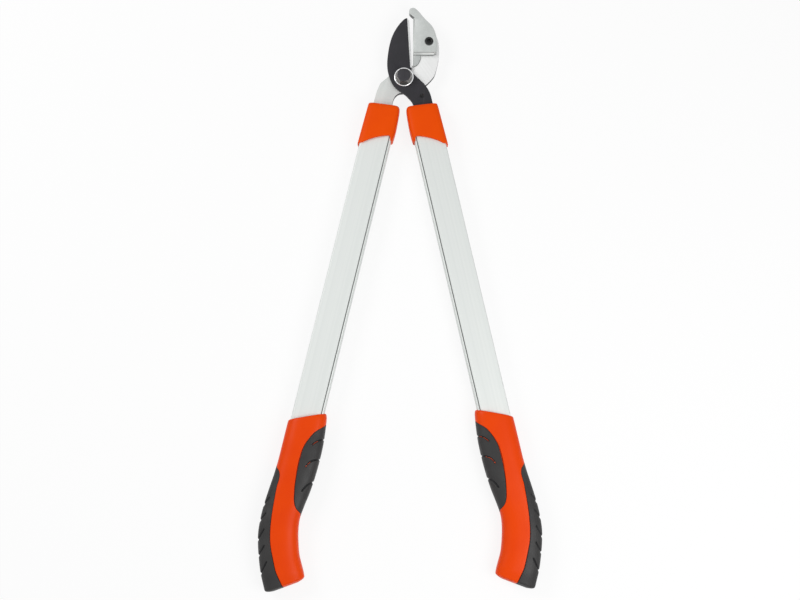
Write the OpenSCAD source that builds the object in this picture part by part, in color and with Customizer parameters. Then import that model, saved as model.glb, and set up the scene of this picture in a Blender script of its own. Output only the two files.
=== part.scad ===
// Anvil lopper lying on its back: two long levers that cross at one pivot bolt.
// The origin lies on the pivot axis, at the surface that the tool rests on.
// +Y points to the jaw, +Z to the viewer, and the lever with the blade swings about +Z.

/* [Jaw] */
// Distance from the pivot axis to the tip of the blade
jaw_len = 76; // [66:1:90]
// Distance from the pivot axis to the striking face of the anvil
anvil_face = 11.1; // [10.4:0.1:12.4]
// Gap left between the edge and the anvil when the jaw is shut
shut_gap = 0.3; // [0.2:0.1:0.6]
// Angle that the jaw stands open at rest
rest_open = 3.6; // [1:0.2:8]
// Thickness of the blade plate
blade_t = 4.5; // [3.5:0.25:6]
// Width of the ground bevel along the edge
bevel_w = 2.3; // [1.5:0.1:3]
// Thickness left at the edge itself
edge_t = 0.4; // [0.2:0.1:0.8]
// Width of the shallow dimple in the shank of the blade
dimple_d = 4.4; // [3:0.2:6]
// Depth of that dimple
dimple_h = 0.9; // [0.5:0.1:1.5]

/* [Anvil] */
// Thickness of the hooked arm that carries the anvil
arm_t = 6.5; // [5:0.5:8]
// Height of the anvil block over the arm
anvil_t = 9; // [7.5:0.5:11]
// Height of the lower heel of the anvil over the arm
heel_t = 1.4; // [1:0.1:3]
// Width of the sloped border along the striking face
face_slope_w = 2; // [1:0.1:3]
// How far this border falls
slope_drop = 1; // [0.6:0.1:2]
// Thread diameter of the anvil screw
screw_d = 6; // [5:0.5:6.5]
// Head diameter of the anvil screw
screw_head_d = 10; // [9:0.5:11]
// Head height of the anvil screw
screw_head_h = 5; // [4:0.5:6]
// Width across the flats of its hexagon socket
screw_key = 5; // [4:0.5:6]
// Depth of its hexagon socket
screw_key_h = 3; // [2:0.5:3.5]

/* [Pivot] */
// Diameter of the pivot bolt
bolt_d = 10; // [8:0.5:11]
// Width across the flats of the bolt head and the nut
nut_key = 16; // [15:0.5:17]
// Height of the bolt head at the front
bolt_head_h = 8; // [6:0.5:9]
// Height of the low locking nut at the back
nut_h = 6.5; // [5.5:0.5:8]
// Thickness of the locking ring in the nut
lock_ring_h = 2.4; // [1.6:0.2:3]
// Wall of the locking ring
lock_ring_wall = 1.5; // [1:0.1:2]
// Diameter of the washers
washer_d = 23.6; // [22:0.2:26]
// Thickness of the back washer and of the floor of the cup washer
washer_t = 1.6; // [1.2:0.2:2.4]
// Height of the rolled rim of the cup washer
cup_rim_h = 3; // [2.2:0.2:4]
// Width of that rim
cup_rim_w = 1.8; // [1.2:0.2:2.2]
// Thickness of the friction washer between the blade and the arm
friction_t = 0.8; // [0.5:0.1:1.5]
// Free play at each side of the blade
side_play = 0.1; // [0.05:0.05:0.2]
// Radial clearance of turning and push fits
fit = 0.05; // [0.02:0.01:0.1]

/* [Levers] */
// Angle of each lever from the centre line at rest
half_angle = 13; // [10:0.5:20]
// Distance from the pivot axis to the axis of each tube
handle_offset = 14; // [12:0.5:17]
// How much further out the left tube lies than the right one
lever_skew = 1.8; // [0:0.2:3]
// Width of the flat oval tube
tube_w = 36; // [34:0.5:37]
// Thickness of the tube
tube_t = 18; // [17:0.5:20]
// Wall of the tube
tube_wall = 1.6; // [1.2:0.1:1.8]
// Rounding of the tube edges
tube_round = 4; // [3:0.5:6]
// Length of the tube
tube_len = 425; // [380:5:500]
// Diameter of the fine line that is rolled along the tube
tube_line_d = 1; // [0.6:0.1:1.4]
// Distance of that line from the inner edge of the tube
tube_line_in = 3; // [2.2:0.1:4]
// How much further down its tang the left tube sits
left_drop = 6; // [0:1:12]
// Width of the tang inside the tube
tang_w = 23; // [20:0.5:25]
// Offset of the tang from the tube axis
tang_shift = 2.5; // [1:0.5:3.5]
// Length of the tang below the top of the collar
tang_len = 60; // [50:1:80]
// Diameter of the pins through tang and tube
pin_d = 5; // [4:0.5:6]

/* [Collars] */
// Distance from the pivot to the top of the collars, along the lever
collar_top = 38; // [36:1:46]
// Length of the collars
collar_len = 60; // [54:1:70]
// Width of the collars
collar_w = 41.5; // [40.5:0.5:45]
// Thickness of the collars
collar_t = 24.4; // [22.8:0.2:27]
// How far the tube stays below the top of the collar
collar_cap = 14; // [12:1:18]
// Clearance of the collar around tube and tang
collar_gap = 0.15; // [0.1:0.05:0.3]

/* [Grips] */
// How deep the tube sits in the grip, below the outer top corner of the grip
socket_depth = 47; // [40:1:50]
// Length of the grips
grip_len = 195; // [180:5:220]
// Width of the grips
grip_w = 46; // [45:0.5:50]
// Thickness of the grips
grip_t = 30; // [28:0.5:34]
// Thickness of the soft pads
pad_t = 2.5; // [1.5:0.1:3]
// Clearance of the socket around the tube
socket_gap = 0.1; // [0.05:0.05:0.3]

/* [Hidden] */
$fn = 64;
// Overrun of every cut
over = 1;
// Points on each stretch of a smooth outline
outline_steps = 5;
// Steps of a grip between two of its stations
station_step = 0.5;
// Length of the narrow ramp at the end of a pad bed, as a share of the grip
bed_ramp_share = 0.004;
// Points on each bare stretch and on each pad bed of a grip ring
arc_points = 7;
// Exponents of the rounded sections
grip_power = 2.7;
collar_power = 5;
// Points on each ring of a collar
collar_points = 36;
// Steps of a collar between two of its stations
collar_steps = 2;
// The floor of a pad bed is this much narrower than its mouth
bed_floor_share = 0.92;
// Least half width of a pad, as a share of the grip width
pad_least_share = 0.02;
// Chamfer of the bolt head and the nut, as a share of their key width
hex_chamfer_share = 0.05;

// Levels of the stack on the pivot bolt, from the rest surface up
nut_z = max(0, grip_t / 2 - friction_t / 2 - arm_t - washer_t - nut_h);
washer_z = nut_z + nut_h;
arm_z = washer_z + washer_t;
arm_top = arm_z + arm_t;
mid_z = arm_top + friction_t / 2;
blade_z = arm_top + friction_t + side_play;
blade_top = blade_z + blade_t;
cup_z = blade_top + side_play;
head_z = cup_z + washer_t;
nut_corner_d = nut_key / cos(30);
lock_ring_r = bolt_d / 2 + fit + lock_ring_wall;
blade_edge = anvil_face - shut_gap;
screw_seat = anvil_t - screw_head_h;

left_offset = handle_offset + lever_skew / 2;
right_offset = handle_offset - lever_skew / 2;
// Places on a lever: across the tube axis, outward, and along it, down from the pivot
tang_in = tang_shift - tang_w / 2;
tang_out = tang_shift + tang_w / 2;
tang_end = collar_top + tang_len;
tube_top = collar_top + collar_cap;
grip_top = tube_top + tube_len - socket_depth;
pin_room = tang_end - tube_top - left_drop;
pin_shares = [0.12, 0.42];
liner_end_share = 0.1;

// Back of the blade with the jaw shut, from the tip round the hub, as shares of the jaw length
blade_back_shares = [
    [0.104, 0.997], [0.054, 0.971], [-0.018, 0.9], [-0.086, 0.811], [-0.135, 0.726], [-0.172, 0.64],
    [-0.208, 0.52], [-0.235, 0.39], [-0.252, 0.27], [-0.254, 0.17], [-0.24, 0.07], [-0.212, -0.03],
    [-0.172, -0.112], [-0.115, -0.184], [-0.06, -0.228]
];
// Top and heel of the ground edge along the striking face
edge_top_share = 0.965;
edge_heel_share = 0.17;
// Neck between the heel and the hub, at rest
blade_neck_shares = [[0.115, 0.13], [0.141, 0.079], [0.181, 0.037]];
// Shank of the blade beside the lever, across and along, as shares of the collar distance
blade_crotch_shares = [[-0.458, -0.526], [-0.397, -0.602], [-0.339, -0.704], [-0.279, -0.82]];
blade_shoulder_shares = [[0.366, -0.8], [0.352, -0.66], [0.313, -0.51], [0.236, -0.335], [0.1, -0.125]];
dimple_shares = [0.088, -0.72];

// Hooked arm: hub and jaw at rest, as shares of the jaw length
arm_hub_shares = [[-0.17, 0.12], [-0.075, 0.19], [0.03, 0.205], [0.11, 0.195]];
arm_jaw_shares = [
    [0.168, 0.3], [0.17, 0.62], [0.172, 0.93], [0.2, 1.03], [0.25, 1.02], [0.335, 0.935],
    [0.425, 0.845], [0.505, 0.735], [0.55, 0.64], [0.564, 0.52], [0.564, 0.39], [0.545, 0.268],
    [0.502, 0.092], [0.455, 0.007], [0.361, -0.092], [0.247, -0.175], [0.11, -0.217], [-0.012, -0.232]
];
arm_crotch_shares = [[-0.345, -0.51], [-0.27, -0.6], [-0.232, -0.7], [-0.22, -0.82]];
arm_shoulder_shares = [[0.365, -0.8], [0.355, -0.58], [0.311, -0.33], [0.226, -0.2], [0.121, -0.05]];

// Anvil block from the top of its face, over the hooked nose and down the back
anvil_back_shares = [
    [0.166, 0.99], [0.098, 1.05], [0.079, 1.096], [0.093, 1.138], [0.134, 1.155], [0.174, 1.147],
    [0.238, 1.088], [0.336, 0.97], [0.433, 0.87], [0.484, 0.786], [0.52, 0.671], [0.53, 0.55],
    [0.525, 0.48], [0.51, 0.425], [0.465, 0.407]
];
anvil_face_top_share = 0.965;
anvil_foot_share = 0.406;
// Round heel of the anvil below the block
heel_shares = [[0.266, 0.45], [0.266, 0.37], [0.257, 0.318], [0.226, 0.254], [0.186, 0.214]];
heel_end_share = 0.2;
screw_shares = [0.401, 0.6];

// Collar stations: outer and inner point, and thickness, as shares of width, length and thickness
collar_outer_shares = [[0.434, 0.057], [0.46, 0.092], [0.468, 0.183], [0.48, 0.467], [0.496, 0.93]];
collar_inner_shares = [[-0.385, 0.02], [-0.455, 0.05], [-0.495, 0.13], [-0.504, 0.467], [-0.49, 0.72]];
collar_thick_shares = [0.76, 0.885, 0.96, 0.985, 1];
// Lower rim of the collar: an arch between its two side tongues
collar_arch_shares = [
    [-0.445, 0.76], [-0.415, 0.68], [-0.355, 0.643], [-0.17, 0.683], [0.024, 0.742],
    [0.22, 0.822], [0.366, 0.908], [0.428, 1]
];

// Grip stations: outer and inner point, and thickness, as shares of width, length and thickness
grip_outer_shares = [
    [0.445, -0.004], [0.455, 0.012], [0.457, 0.077], [0.457, 0.154], [0.457, 0.236], [0.472, 0.323],
    [0.504, 0.41], [0.533, 0.503], [0.537, 0.59], [0.504, 0.682], [0.424, 0.759], [0.315, 0.836],
    [0.204, 0.903], [0.104, 0.946], [0.004, 0.985], [-0.12, 1]
];
grip_inner_shares = [
    [-0.445, -0.092], [-0.485, -0.064], [-0.524, 0.005], [-0.557, 0.092], [-0.565, 0.185], [-0.55, 0.287],
    [-0.513, 0.385], [-0.457, 0.472], [-0.426, 0.544], [-0.457, 0.61], [-0.528, 0.677], [-0.63, 0.749],
    [-0.761, 0.808], [-0.865, 0.854], [-0.8, 0.886], [-0.62, 0.928]
];
grip_thick_shares = [
    0.9, 0.94, 0.97, 1, 1, 1, 0.985, 0.97, 0.97, 0.98, 1, 1, 0.98, 0.95, 0.83, 0.53
];
// Reach of each pad from its edge of the grip, as a share of the grip width there
inner_pad_shares = [
    -0.2, -0.2, 0.2, 0.43, 0.48, 0.445, 0.36, 0.21, -0.08, -0.1, -0.1, -0.1, -0.1, -0.1, -0.1, -0.1
];
outer_pad_shares = [
    -0.1, -0.1, -0.1, -0.1, -0.1, 0.15, 0.195, 0.255, 0.3, 0.325, 0.335, 0.37, 0.385, 0.4, 0.44, 0.56
];
// Where the pads begin and end, as shares of the way down the grip stations
inner_pad_end_shares = [0.107, 0.52];
outer_pad_end_shares = [0.293, 1];
last_station = len(grip_outer_shares) - 1;
inner_pad_ends = inner_pad_end_shares * last_station;
outer_pad_ends = outer_pad_end_shares * last_station;
bed_ramp = bed_ramp_share * last_station;

function turned(p, angle) = [p[0] * cos(angle) - p[1] * sin(angle), p[0] * sin(angle) + p[1] * cos(angle)];
function on_right(p) = turned([p[0] + right_offset, p[1]], half_angle);
function on_left(p) = mirrored(turned([p[0] + left_offset, p[1]], half_angle));
function mirrored(p) = [-p[0], p[1]];
function sized(shares, size) = [for (p = shares) [p[0] * size, p[1] * size]];
function reversed(list) = [for (i = [len(list) - 1 : -1 : 0]) list[i]];
function joined(lists) = [for (list = lists) each list];

// Smooth curve through the entries of a table, at a fractional index
function cubic(a, b, c, d, t) =
    b + t * ((c - a) + t * ((2 * a - 5 * b + 4 * c - d) + t * (3 * b - a - 3 * c + d))) / 2;
function along(table, t) =
    let (
        last = len(table) - 1,
        i = min(floor(t), last - 1)
    )
    cubic(table[max(i - 1, 0)], table[i], table[i + 1], table[min(i + 2, last)], t - i);
function curve(table) =
    [for (k = [0 : (len(table) - 1) * outline_steps]) along(table, k / outline_steps)];

// Rounded section: half width and half height are scaled by these two factors
function section_x(angle, power) = sign(cos(angle)) * pow(abs(cos(angle)), 2 / power);
function section_z(angle, power) = sign(sin(angle)) * pow(abs(sin(angle)), 2 / power);

// Frame of a ring between an outer and an inner point: middle, direction inward and half width
function ring_frame(outer, inner) =
    let (span = inner - outer)
    [(outer + inner) / 2, span / norm(span), norm(span) / 2];
function ring_point(frame, half_t, angle, inset, power) =
    let (across = frame[0] + frame[1] * (frame[2] - inset) * section_x(angle, power))
    [across[0], across[1], (half_t - inset) * section_z(angle, power)];
function spread(low, high, count) = [for (k = [0 : count - 1]) low + (high - low) * k / (count - 1)];

// Solid between rings of equally many points, each patch split along one of its two diagonals
module loft(rings, crossed = false) {
    count = len(rings[0]);
    last = len(rings) - 1;
    sides = [
        for (r = [0 : last - 1], k = [0 : count - 1])
            let (
                next = (k + 1) % count,
                a = r * count + k,
                b = r * count + next,
                c = (r + 1) * count + next,
                d = (r + 1) * count + k
            )
            each crossed ? [[a, b, d], [b, c, d]] : [[a, b, c], [a, c, d]]
    ];
    first_cap = [for (k = [count - 1 : -1 : 0]) k];
    last_cap = [for (k = [0 : count - 1]) last * count + k];
    polyhedron(points = joined(rings), faces = concat(sides, [first_cap, last_cap]));
}

module right_side() {
    rotate(half_angle) translate([right_offset, 0, mid_z]) children();
}

module left_side() {
    mirror([1, 0, 0]) rotate(half_angle) translate([left_offset, 0, mid_z]) children();
}

module plate(z, t, points) {
    translate([0, 0, z]) linear_extrude(t) polygon(points);
}

module bore(d, z, h) {
    translate([0, 0, z - over]) cylinder(d = d + 2 * fit, h = h + 2 * over);
}

// Hexagon with its flats square to Y and a chamfered end
module hex_block(z, h, chamfer_up) {
    drop = nut_key * hex_chamfer_share;
    wide = nut_corner_d / 2;
    narrow = nut_key / 2;
    translate([0, 0, z])
    intersection() {
        cylinder(d = nut_corner_d, h = h, $fn = 6);
        rotate_extrude()
        polygon([
            [0, 0],
            [chamfer_up ? wide : narrow, 0],
            [wide, chamfer_up ? h - drop : drop],
            [chamfer_up ? narrow : wide, h],
            [0, h]
        ]);
    }
}

// Straight part of a shank, inside collar and tube
function tang_points() = [
    [tang_in, -collar_top], [tang_in, -tang_end], [tang_out, -tang_end], [tang_out, -collar_top]
];

// Places of the two pins along the lever
function pin_places() = [for (share = pin_shares) -(tube_top + left_drop + pin_room * share)];

module pin_holes() {
    for (y = pin_places())
        translate([0, y, -tube_t]) cylinder(d = pin_d + 2 * fit, h = 2 * tube_t);
}

function arm_outline() =
    let (
        crotch = sized(arm_crotch_shares, collar_top),
        shoulder = sized(arm_shoulder_shares, collar_top),
        tang = tang_points(),
        hub = sized(arm_hub_shares, jaw_len),
        jaw = sized(arm_jaw_shares, jaw_len),
        upper = concat([tang[3]], shoulder),
        lower = concat(crotch, [tang[0]])
    )
    concat(
        curve(concat([for (p = upper) on_left(p)], hub, jaw, [for (p = lower) on_left(p)])),
        [for (p = [tang[1], tang[2]]) on_left(p)]
    );

function blade_outline() =
    let (
        back = [for (p = sized(blade_back_shares, jaw_len)) turned(p, rest_open)],
        crotch = [for (p = sized(blade_crotch_shares, collar_top)) on_right(p)],
        shoulder = [for (p = sized(blade_shoulder_shares, collar_top)) on_right(p)],
        tang = [for (p = tang_points()) on_right(p)],
        neck = sized(blade_neck_shares, jaw_len),
        edge = [
            for (share = [edge_heel_share, edge_top_share]) turned([blade_edge, jaw_len * share], rest_open)
        ]
    )
    concat(
        curve(concat(back, crotch, [tang[0]])),
        [tang[1], tang[2]],
        curve(concat([tang[3]], shoulder, reversed(neck))),
        edge
    );

module hook_arm() {
    color([0.84, 0.85, 0.84])
    difference() {
        plate(arm_z, arm_t, arm_outline());
        bore(bolt_d, arm_z, arm_t);
        translate(screw_place()) bore(screw_d, arm_z, arm_t);
        left_side() pin_holes();
    }
}

function screw_place() = [screw_shares[0] * jaw_len, screw_shares[1] * jaw_len, 0];

function anvil_outline() =
    concat(
        [[anvil_face, jaw_len * anvil_foot_share], [anvil_face, jaw_len * anvil_face_top_share]],
        curve(sized(anvil_back_shares, jaw_len))
    );

function heel_outline() =
    concat(
        [[anvil_face, jaw_len * heel_shares[0][1]]],
        curve(sized(heel_shares, jaw_len)),
        [[anvil_face, jaw_len * heel_end_share]]
    );

// Wedge that slopes the border of the anvil block along the striking face
module face_slope(length) {
    rotate([90, 0, 180])
    linear_extrude(length)
    polygon([
        [over, over],
        [over, -slope_drop * (1 + over / face_slope_w)],
        [-face_slope_w, 0],
        [-face_slope_w, over]
    ]);
}

module anvil() {
    color([0.74, 0.76, 0.75])
    difference() {
        union() {
            plate(arm_top, anvil_t, anvil_outline());
            plate(arm_top, heel_t, heel_outline());
        }
        translate([anvil_face, jaw_len * anvil_foot_share, arm_top + anvil_t])
            face_slope(jaw_len * (anvil_face_top_share - anvil_foot_share));
        translate(screw_place()) bore(screw_d, arm_top, anvil_t);
        translate(screw_place()) translate([0, 0, arm_top + screw_seat])
            cylinder(d = screw_head_d + 2 * collar_gap, h = anvil_t);
    }
}

module anvil_screw() {
    seat = arm_top + screw_seat;
    color([0.2, 0.2, 0.21])
    translate(screw_place())
    difference() {
        union() {
            translate([0, 0, arm_z]) cylinder(d = screw_d, h = seat - arm_z);
            translate([0, 0, seat]) cylinder(d = screw_head_d, h = screw_head_h);
        }
        translate([0, 0, seat + screw_head_h - screw_key_h])
            cylinder(d = screw_key / cos(30), h = screw_key_h + over, $fn = 6);
    }
}

module pivot_bolt() {
    color([0.3, 0.3, 0.32]) {
        union() {
            hex_block(head_z, bolt_head_h, true);
            translate([0, 0, nut_z]) cylinder(d = bolt_d, h = head_z - nut_z);
        }
    }
}

module pivot_nut() {
    color([0.42, 0.42, 0.44])
    difference() {
        hex_block(nut_z, nut_h, false);
        bore(bolt_d, nut_z, nut_h);
        translate([0, 0, nut_z - over]) cylinder(r = lock_ring_r, h = lock_ring_h + over);
    }
}

module nut_lock_ring() {
    color([0.22, 0.22, 0.24])
    difference() {
        translate([0, 0, nut_z]) cylinder(r = lock_ring_r, h = lock_ring_h);
        bore(bolt_d, nut_z, nut_h);
    }
}

module washer(z, t) {
    difference() {
        translate([0, 0, z]) cylinder(d = washer_d, h = t);
        bore(bolt_d, z, t);
    }
}

// Washer with a rolled rim that frames the bolt head
module cup_washer() {
    color([0.86, 0.87, 0.88])
    union() {
        washer(cup_z, washer_t);
        rotate_extrude()
        translate([washer_d / 2 - cup_rim_w, cup_z + washer_t])
        union() {
            square([cup_rim_w, cup_rim_h - washer_t - cup_rim_w / 2]);
            translate([cup_rim_w / 2, cup_rim_h - washer_t - cup_rim_w / 2]) circle(d = cup_rim_w);
        }
    }
}

module back_washer() {
    color([0.7, 0.71, 0.72]) washer(washer_z, washer_t);
}

module friction_washer() {
    color([0.72, 0.6, 0.36]) washer(arm_top, friction_t);
}

module cutting_blade() {
    bevel_rise = (blade_t - edge_t) / 2;
    color([0.23, 0.23, 0.25])
    difference() {
        plate(blade_z, blade_t, blade_outline());
        bore(bolt_d, blade_z, blade_t);
        for (side = [-1, 1])
            rotate(rest_open)
            translate([blade_edge, 0, blade_z + blade_t / 2])
            rotate([-90, 0, 0])
            linear_extrude(jaw_len + over)
            polygon([
                [over, side * edge_t / 2 - side * bevel_rise * over / bevel_w],
                [-bevel_w - over, side * (blade_t / 2 + bevel_rise * over / bevel_w)],
                [over, side * (blade_t / 2 + bevel_rise * over / bevel_w)]
            ]);
        right_side()
            translate([
                dimple_shares[0] * collar_top,
                dimple_shares[1] * collar_top,
                blade_top - mid_z - dimple_h + dimple_ball_r()
            ])
            sphere(r = dimple_ball_r());
        right_side() pin_holes();
    }
}

// Ball that presses a dimple of the given width and depth
function dimple_ball_r() = (dimple_d * dimple_d / 4 + dimple_h * dimple_h) / (2 * dimple_h);

module round_rect(w, h, r) {
    square([w - 2 * r, h], center = true);
    square([w, h - 2 * r], center = true);
    for (x = [-1, 1], y = [-1, 1])
        translate([x * (w / 2 - r), y * (h / 2 - r)]) circle(r);
}

// Stands a section up across the lever and runs it down from the given place
module down_lever(from, length) {
    translate([0, -from, 0]) rotate([90, 0, 0]) linear_extrude(length) children();
}

module tube_shape(gap) {
    round_rect(tube_w + 2 * gap, tube_t + 2 * gap, tube_round + gap);
}

module bore_shape(gap) {
    round_rect(tube_w - 2 * tube_wall - 2 * gap, tube_t - 2 * tube_wall - 2 * gap, tube_round - tube_wall);
}

module tube(drop) {
    color([0.86, 0.87, 0.87])
    difference() {
        down_lever(tube_top + drop, tube_len)
        difference() {
            tube_shape(0);
            bore_shape(0);
            for (z = [-1, 1])
                translate([tube_line_in - tube_w / 2, z * tube_t / 2]) circle(d = tube_line_d);
        }
        pin_holes();
    }
}

// Wedge of plastic that fills the tube around the tang, at the level of the given plate
module tang_liner(drop, low, thick) {
    liner_len = (tang_end - tube_top - drop) * (1 + liner_end_share);
    color([0.16, 0.16, 0.17])
    difference() {
        down_lever(tube_top + drop, liner_len) bore_shape(fit);
        translate([tang_in - fit, -tang_end - fit, low - mid_z - fit])
            cube([tang_w + 2 * fit, tang_len, thick + 2 * fit]);
        pin_holes();
    }
}

module tang_pins() {
    color([0.6, 0.61, 0.62])
    for (y = pin_places())
        translate([0, y, -tube_t / 2]) cylinder(d = pin_d, h = tube_t);
}

function collar_ring(t) =
    let (
        outer = along(collar_outer_shares, t),
        inner = along(collar_inner_shares, t),
        frame = ring_frame(
            [outer[0] * collar_w, -collar_top - outer[1] * collar_len],
            [inner[0] * collar_w, -collar_top - inner[1] * collar_len]
        ),
        half_t = along(collar_thick_shares, t) * collar_t / 2
    )
    [for (k = [0 : collar_points - 1]) ring_point(frame, half_t, 360 * k / collar_points, 0, collar_power)];

// Moulded collar over the top of the tube, with a slot for the shank of the given plate
module collar(low, thick) {
    last = len(collar_outer_shares) - 1;
    arch = [for (p = curve(collar_arch_shares)) [p[0] * collar_w, -collar_top - p[1] * collar_len]];
    below = -collar_top - 2 * collar_len;
    color([0.91, 0.3, 0.05])
    difference() {
        loft([for (k = [0 : last * collar_steps]) collar_ring(k / collar_steps)]);
        down_lever(tube_top, collar_len) tube_shape(collar_gap);
        translate([tang_in - collar_gap, -tang_end, low - mid_z - collar_gap])
            cube([tang_w + 2 * collar_gap, tang_end, thick + 2 * collar_gap]);
        translate([0, 0, -collar_t])
            linear_extrude(2 * collar_t)
            polygon(concat(arch, [[arch[len(arch) - 1][0], below], [arch[0][0], below]]));
    }
}

// Grip stations, with extra rings at the ends of the pads
function station_list() =
    let (
        breaks = [
            0,
            inner_pad_ends[0] - bed_ramp, inner_pad_ends[0],
            outer_pad_ends[0] - bed_ramp, outer_pad_ends[0],
            inner_pad_ends[1], inner_pad_ends[1] + bed_ramp,
            outer_pad_ends[1]
        ]
    )
    concat(
        [
            for (i = [0 : len(breaks) - 2])
                let (
                    span = breaks[i + 1] - breaks[i],
                    count = ceil(span / station_step)
                )
                for (k = [0 : count - 1]) breaks[i] + span * k / count
        ],
        [outer_pad_ends[1]]
    );
function within(t, ends) = t > ends[0] - bed_ramp / 2 && t < ends[1] + bed_ramp / 2;
function bed_depth(t, ends) = within(t, ends) ? pad_t : 0;

function grip_frame(t, top) =
    let (
        outer = along(grip_outer_shares, t),
        inner = along(grip_inner_shares, t)
    )
    ring_frame(
        [outer[0] * grip_w, -top - outer[1] * grip_len],
        [inner[0] * grip_w, -top - inner[1] * grip_len]
    );
function grip_half_t(t) = min(along(grip_thick_shares, t), 1) * grip_t / 2;

// Angle on the section at which a pad that reaches the given share of the width ends
function reach_angle(shares, t) =
    let (side = 1 - 2 * max(along(shares, t), pad_least_share))
    acos(sign(side) * pow(abs(side), grip_power / 2));

function grip_points(t, top, angles, inset) =
    [for (angle = angles) ring_point(grip_frame(t, top), grip_half_t(t), angle, inset, grip_power)];

function core_ring(t, top) =
    let (
        near = reach_angle(inner_pad_shares, t),
        far = reach_angle(outer_pad_shares, t),
        near_floor = near * bed_floor_share,
        far_floor = far * bed_floor_share
    )
    concat(
        grip_points(t, top, spread(near, 180 - far, arc_points), 0),
        grip_points(
            t, top, spread(180 - far_floor, 180 + far_floor, arc_points), bed_depth(t, outer_pad_ends)
        ),
        grip_points(t, top, spread(180 + far, 360 - near, arc_points), 0),
        grip_points(t, top, spread(-near_floor, near_floor, arc_points), bed_depth(t, inner_pad_ends))
    );

// Ring of a pad around the given angle: its skin, and back along the floor of its bed
function pad_ring(t, top, shares, middle) =
    let (
        reach = reach_angle(shares, t),
        floor_reach = reach * bed_floor_share
    )
    concat(
        grip_points(t, top, spread(middle - reach, middle + reach, arc_points), 0),
        grip_points(t, top, spread(middle + floor_reach, middle - floor_reach, arc_points), pad_t)
    );

module grip_core(drop) {
    color([0.91, 0.29, 0.08])
    difference() {
        loft([for (t = station_list()) core_ring(t, grip_top + drop)]);
        down_lever(tube_top + drop, tube_len + socket_gap) tube_shape(socket_gap);
    }
}

module grip_pad(drop, shares, ends, middle) {
    rings = [for (t = station_list()) if (within(t, ends)) pad_ring(t, grip_top + drop, shares, middle)];
    color([0.25, 0.25, 0.27]) loft(rings, crossed = true);
}

module grip_inner_pad(drop) {
    grip_pad(drop, inner_pad_shares, inner_pad_ends, 0);
}

module grip_outer_pad(drop) {
    grip_pad(drop, outer_pad_shares, outer_pad_ends, 180);
}

module left_tube() { left_side() tube(left_drop); }
module left_collar() { left_side() collar(arm_z, arm_t); }
module left_tang_liner() { left_side() tang_liner(left_drop, arm_z, arm_t); }
module left_tang_pins() { left_side() tang_pins(); }
module left_grip_core() { left_side() grip_core(left_drop); }
module left_grip_inner_pad() { left_side() grip_inner_pad(left_drop); }
module left_grip_outer_pad() { left_side() grip_outer_pad(left_drop); }

module right_tube() { right_side() tube(0); }
module right_collar() { right_side() collar(blade_z, blade_t); }
module right_tang_liner() { right_side() tang_liner(0, blade_z, blade_t); }
module right_tang_pins() { right_side() tang_pins(); }
module right_grip_core() { right_side() grip_core(0); }
module right_grip_inner_pad() { right_side() grip_inner_pad(0); }
module right_grip_outer_pad() { right_side() grip_outer_pad(0); }

hook_arm();
anvil();
anvil_screw();
pivot_bolt();
pivot_nut();
nut_lock_ring();
cup_washer();
back_washer();
friction_washer();
cutting_blade();
left_tube();
left_collar();
left_tang_liner();
left_tang_pins();
left_grip_core();
left_grip_inner_pad();
left_grip_outer_pad();
right_tube();
right_collar();
right_tang_liner();
right_tang_pins();
right_grip_core();
right_grip_inner_pad();
right_grip_outer_pad();
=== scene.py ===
"""Looks of a long-handled anvil lopper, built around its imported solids.

Lengths in the classes are millimetres, and every mesh is written in metres in the frame of the solids:
the origin is on the pivot axis at the rest surface, +Y points to the jaw and +Z to the viewer.
"""

import logging
import math
from dataclasses import dataclass
from enum import Enum
from functools import partial
from typing import Callable, Optional, Sequence

import bmesh
import bpy
import numpy as np
from mathutils import Matrix, Vector


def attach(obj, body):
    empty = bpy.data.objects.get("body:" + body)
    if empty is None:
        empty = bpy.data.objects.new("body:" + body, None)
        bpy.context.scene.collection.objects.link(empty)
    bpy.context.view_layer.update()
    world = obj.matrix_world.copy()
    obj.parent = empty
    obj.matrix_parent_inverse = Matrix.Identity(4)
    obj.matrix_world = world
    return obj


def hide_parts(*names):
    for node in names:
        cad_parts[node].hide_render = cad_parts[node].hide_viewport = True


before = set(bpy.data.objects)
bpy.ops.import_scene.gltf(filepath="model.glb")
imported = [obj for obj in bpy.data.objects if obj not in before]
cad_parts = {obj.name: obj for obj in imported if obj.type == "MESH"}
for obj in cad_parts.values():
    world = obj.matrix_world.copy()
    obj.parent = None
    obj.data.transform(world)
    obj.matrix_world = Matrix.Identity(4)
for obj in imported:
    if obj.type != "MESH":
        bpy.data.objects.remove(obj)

Array = np.ndarray
Colour = tuple[float, float, float]
Spot = tuple[float, float, float]
Pair = tuple[float, float]
Piece = bpy.types.Object
Node = bpy.types.Node
Socket = bpy.types.NodeSocket

LOG = logging.getLogger("anvil_lopper")
MM = 0.001
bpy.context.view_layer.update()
FALL: Pair = (1.0, 0.0)
WHITE = (1.0, 1.0, 1.0, 1.0)
WELD = 2e-6
COPY_WELD = 1e-6
NO_LENGTH = 1e-7
TINY = 1e-9
# Where a rounded edge has its rows, in radii from the edge.
BENDS = 1 - np.cos(np.radians([0.0, 25.0, 45.0, 65.0]))


class Side(Enum):
    """Which lever a piece belongs to; the value mirrors X."""

    LEFT = -1.0
    RIGHT = 1.0


# --------------------------------------------------------------------------- shapes


def along(table: Array, at: Array) -> Array:
    """Follows a smooth curve through the rows of a table.

    Args:
        table: rows of one or two values.
        at: fractional row numbers.

    Returns:
        One row, or one value, for each entry of at.
    """
    last = len(table) - 1
    row = np.minimum(np.floor(at).astype(int), last - 1)
    part = at - row
    if table.ndim > 1:
        part = part[:, None]
    a, b = table[np.maximum(row - 1, 0)], table[row]
    c, d = table[row + 1], table[np.minimum(row + 2, last)]
    bend = 3 * b - a - 3 * c + d
    return b + part * ((c - a) + part * ((2 * a - 5 * b + 4 * c - d) + part * bend)) / 2


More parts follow.
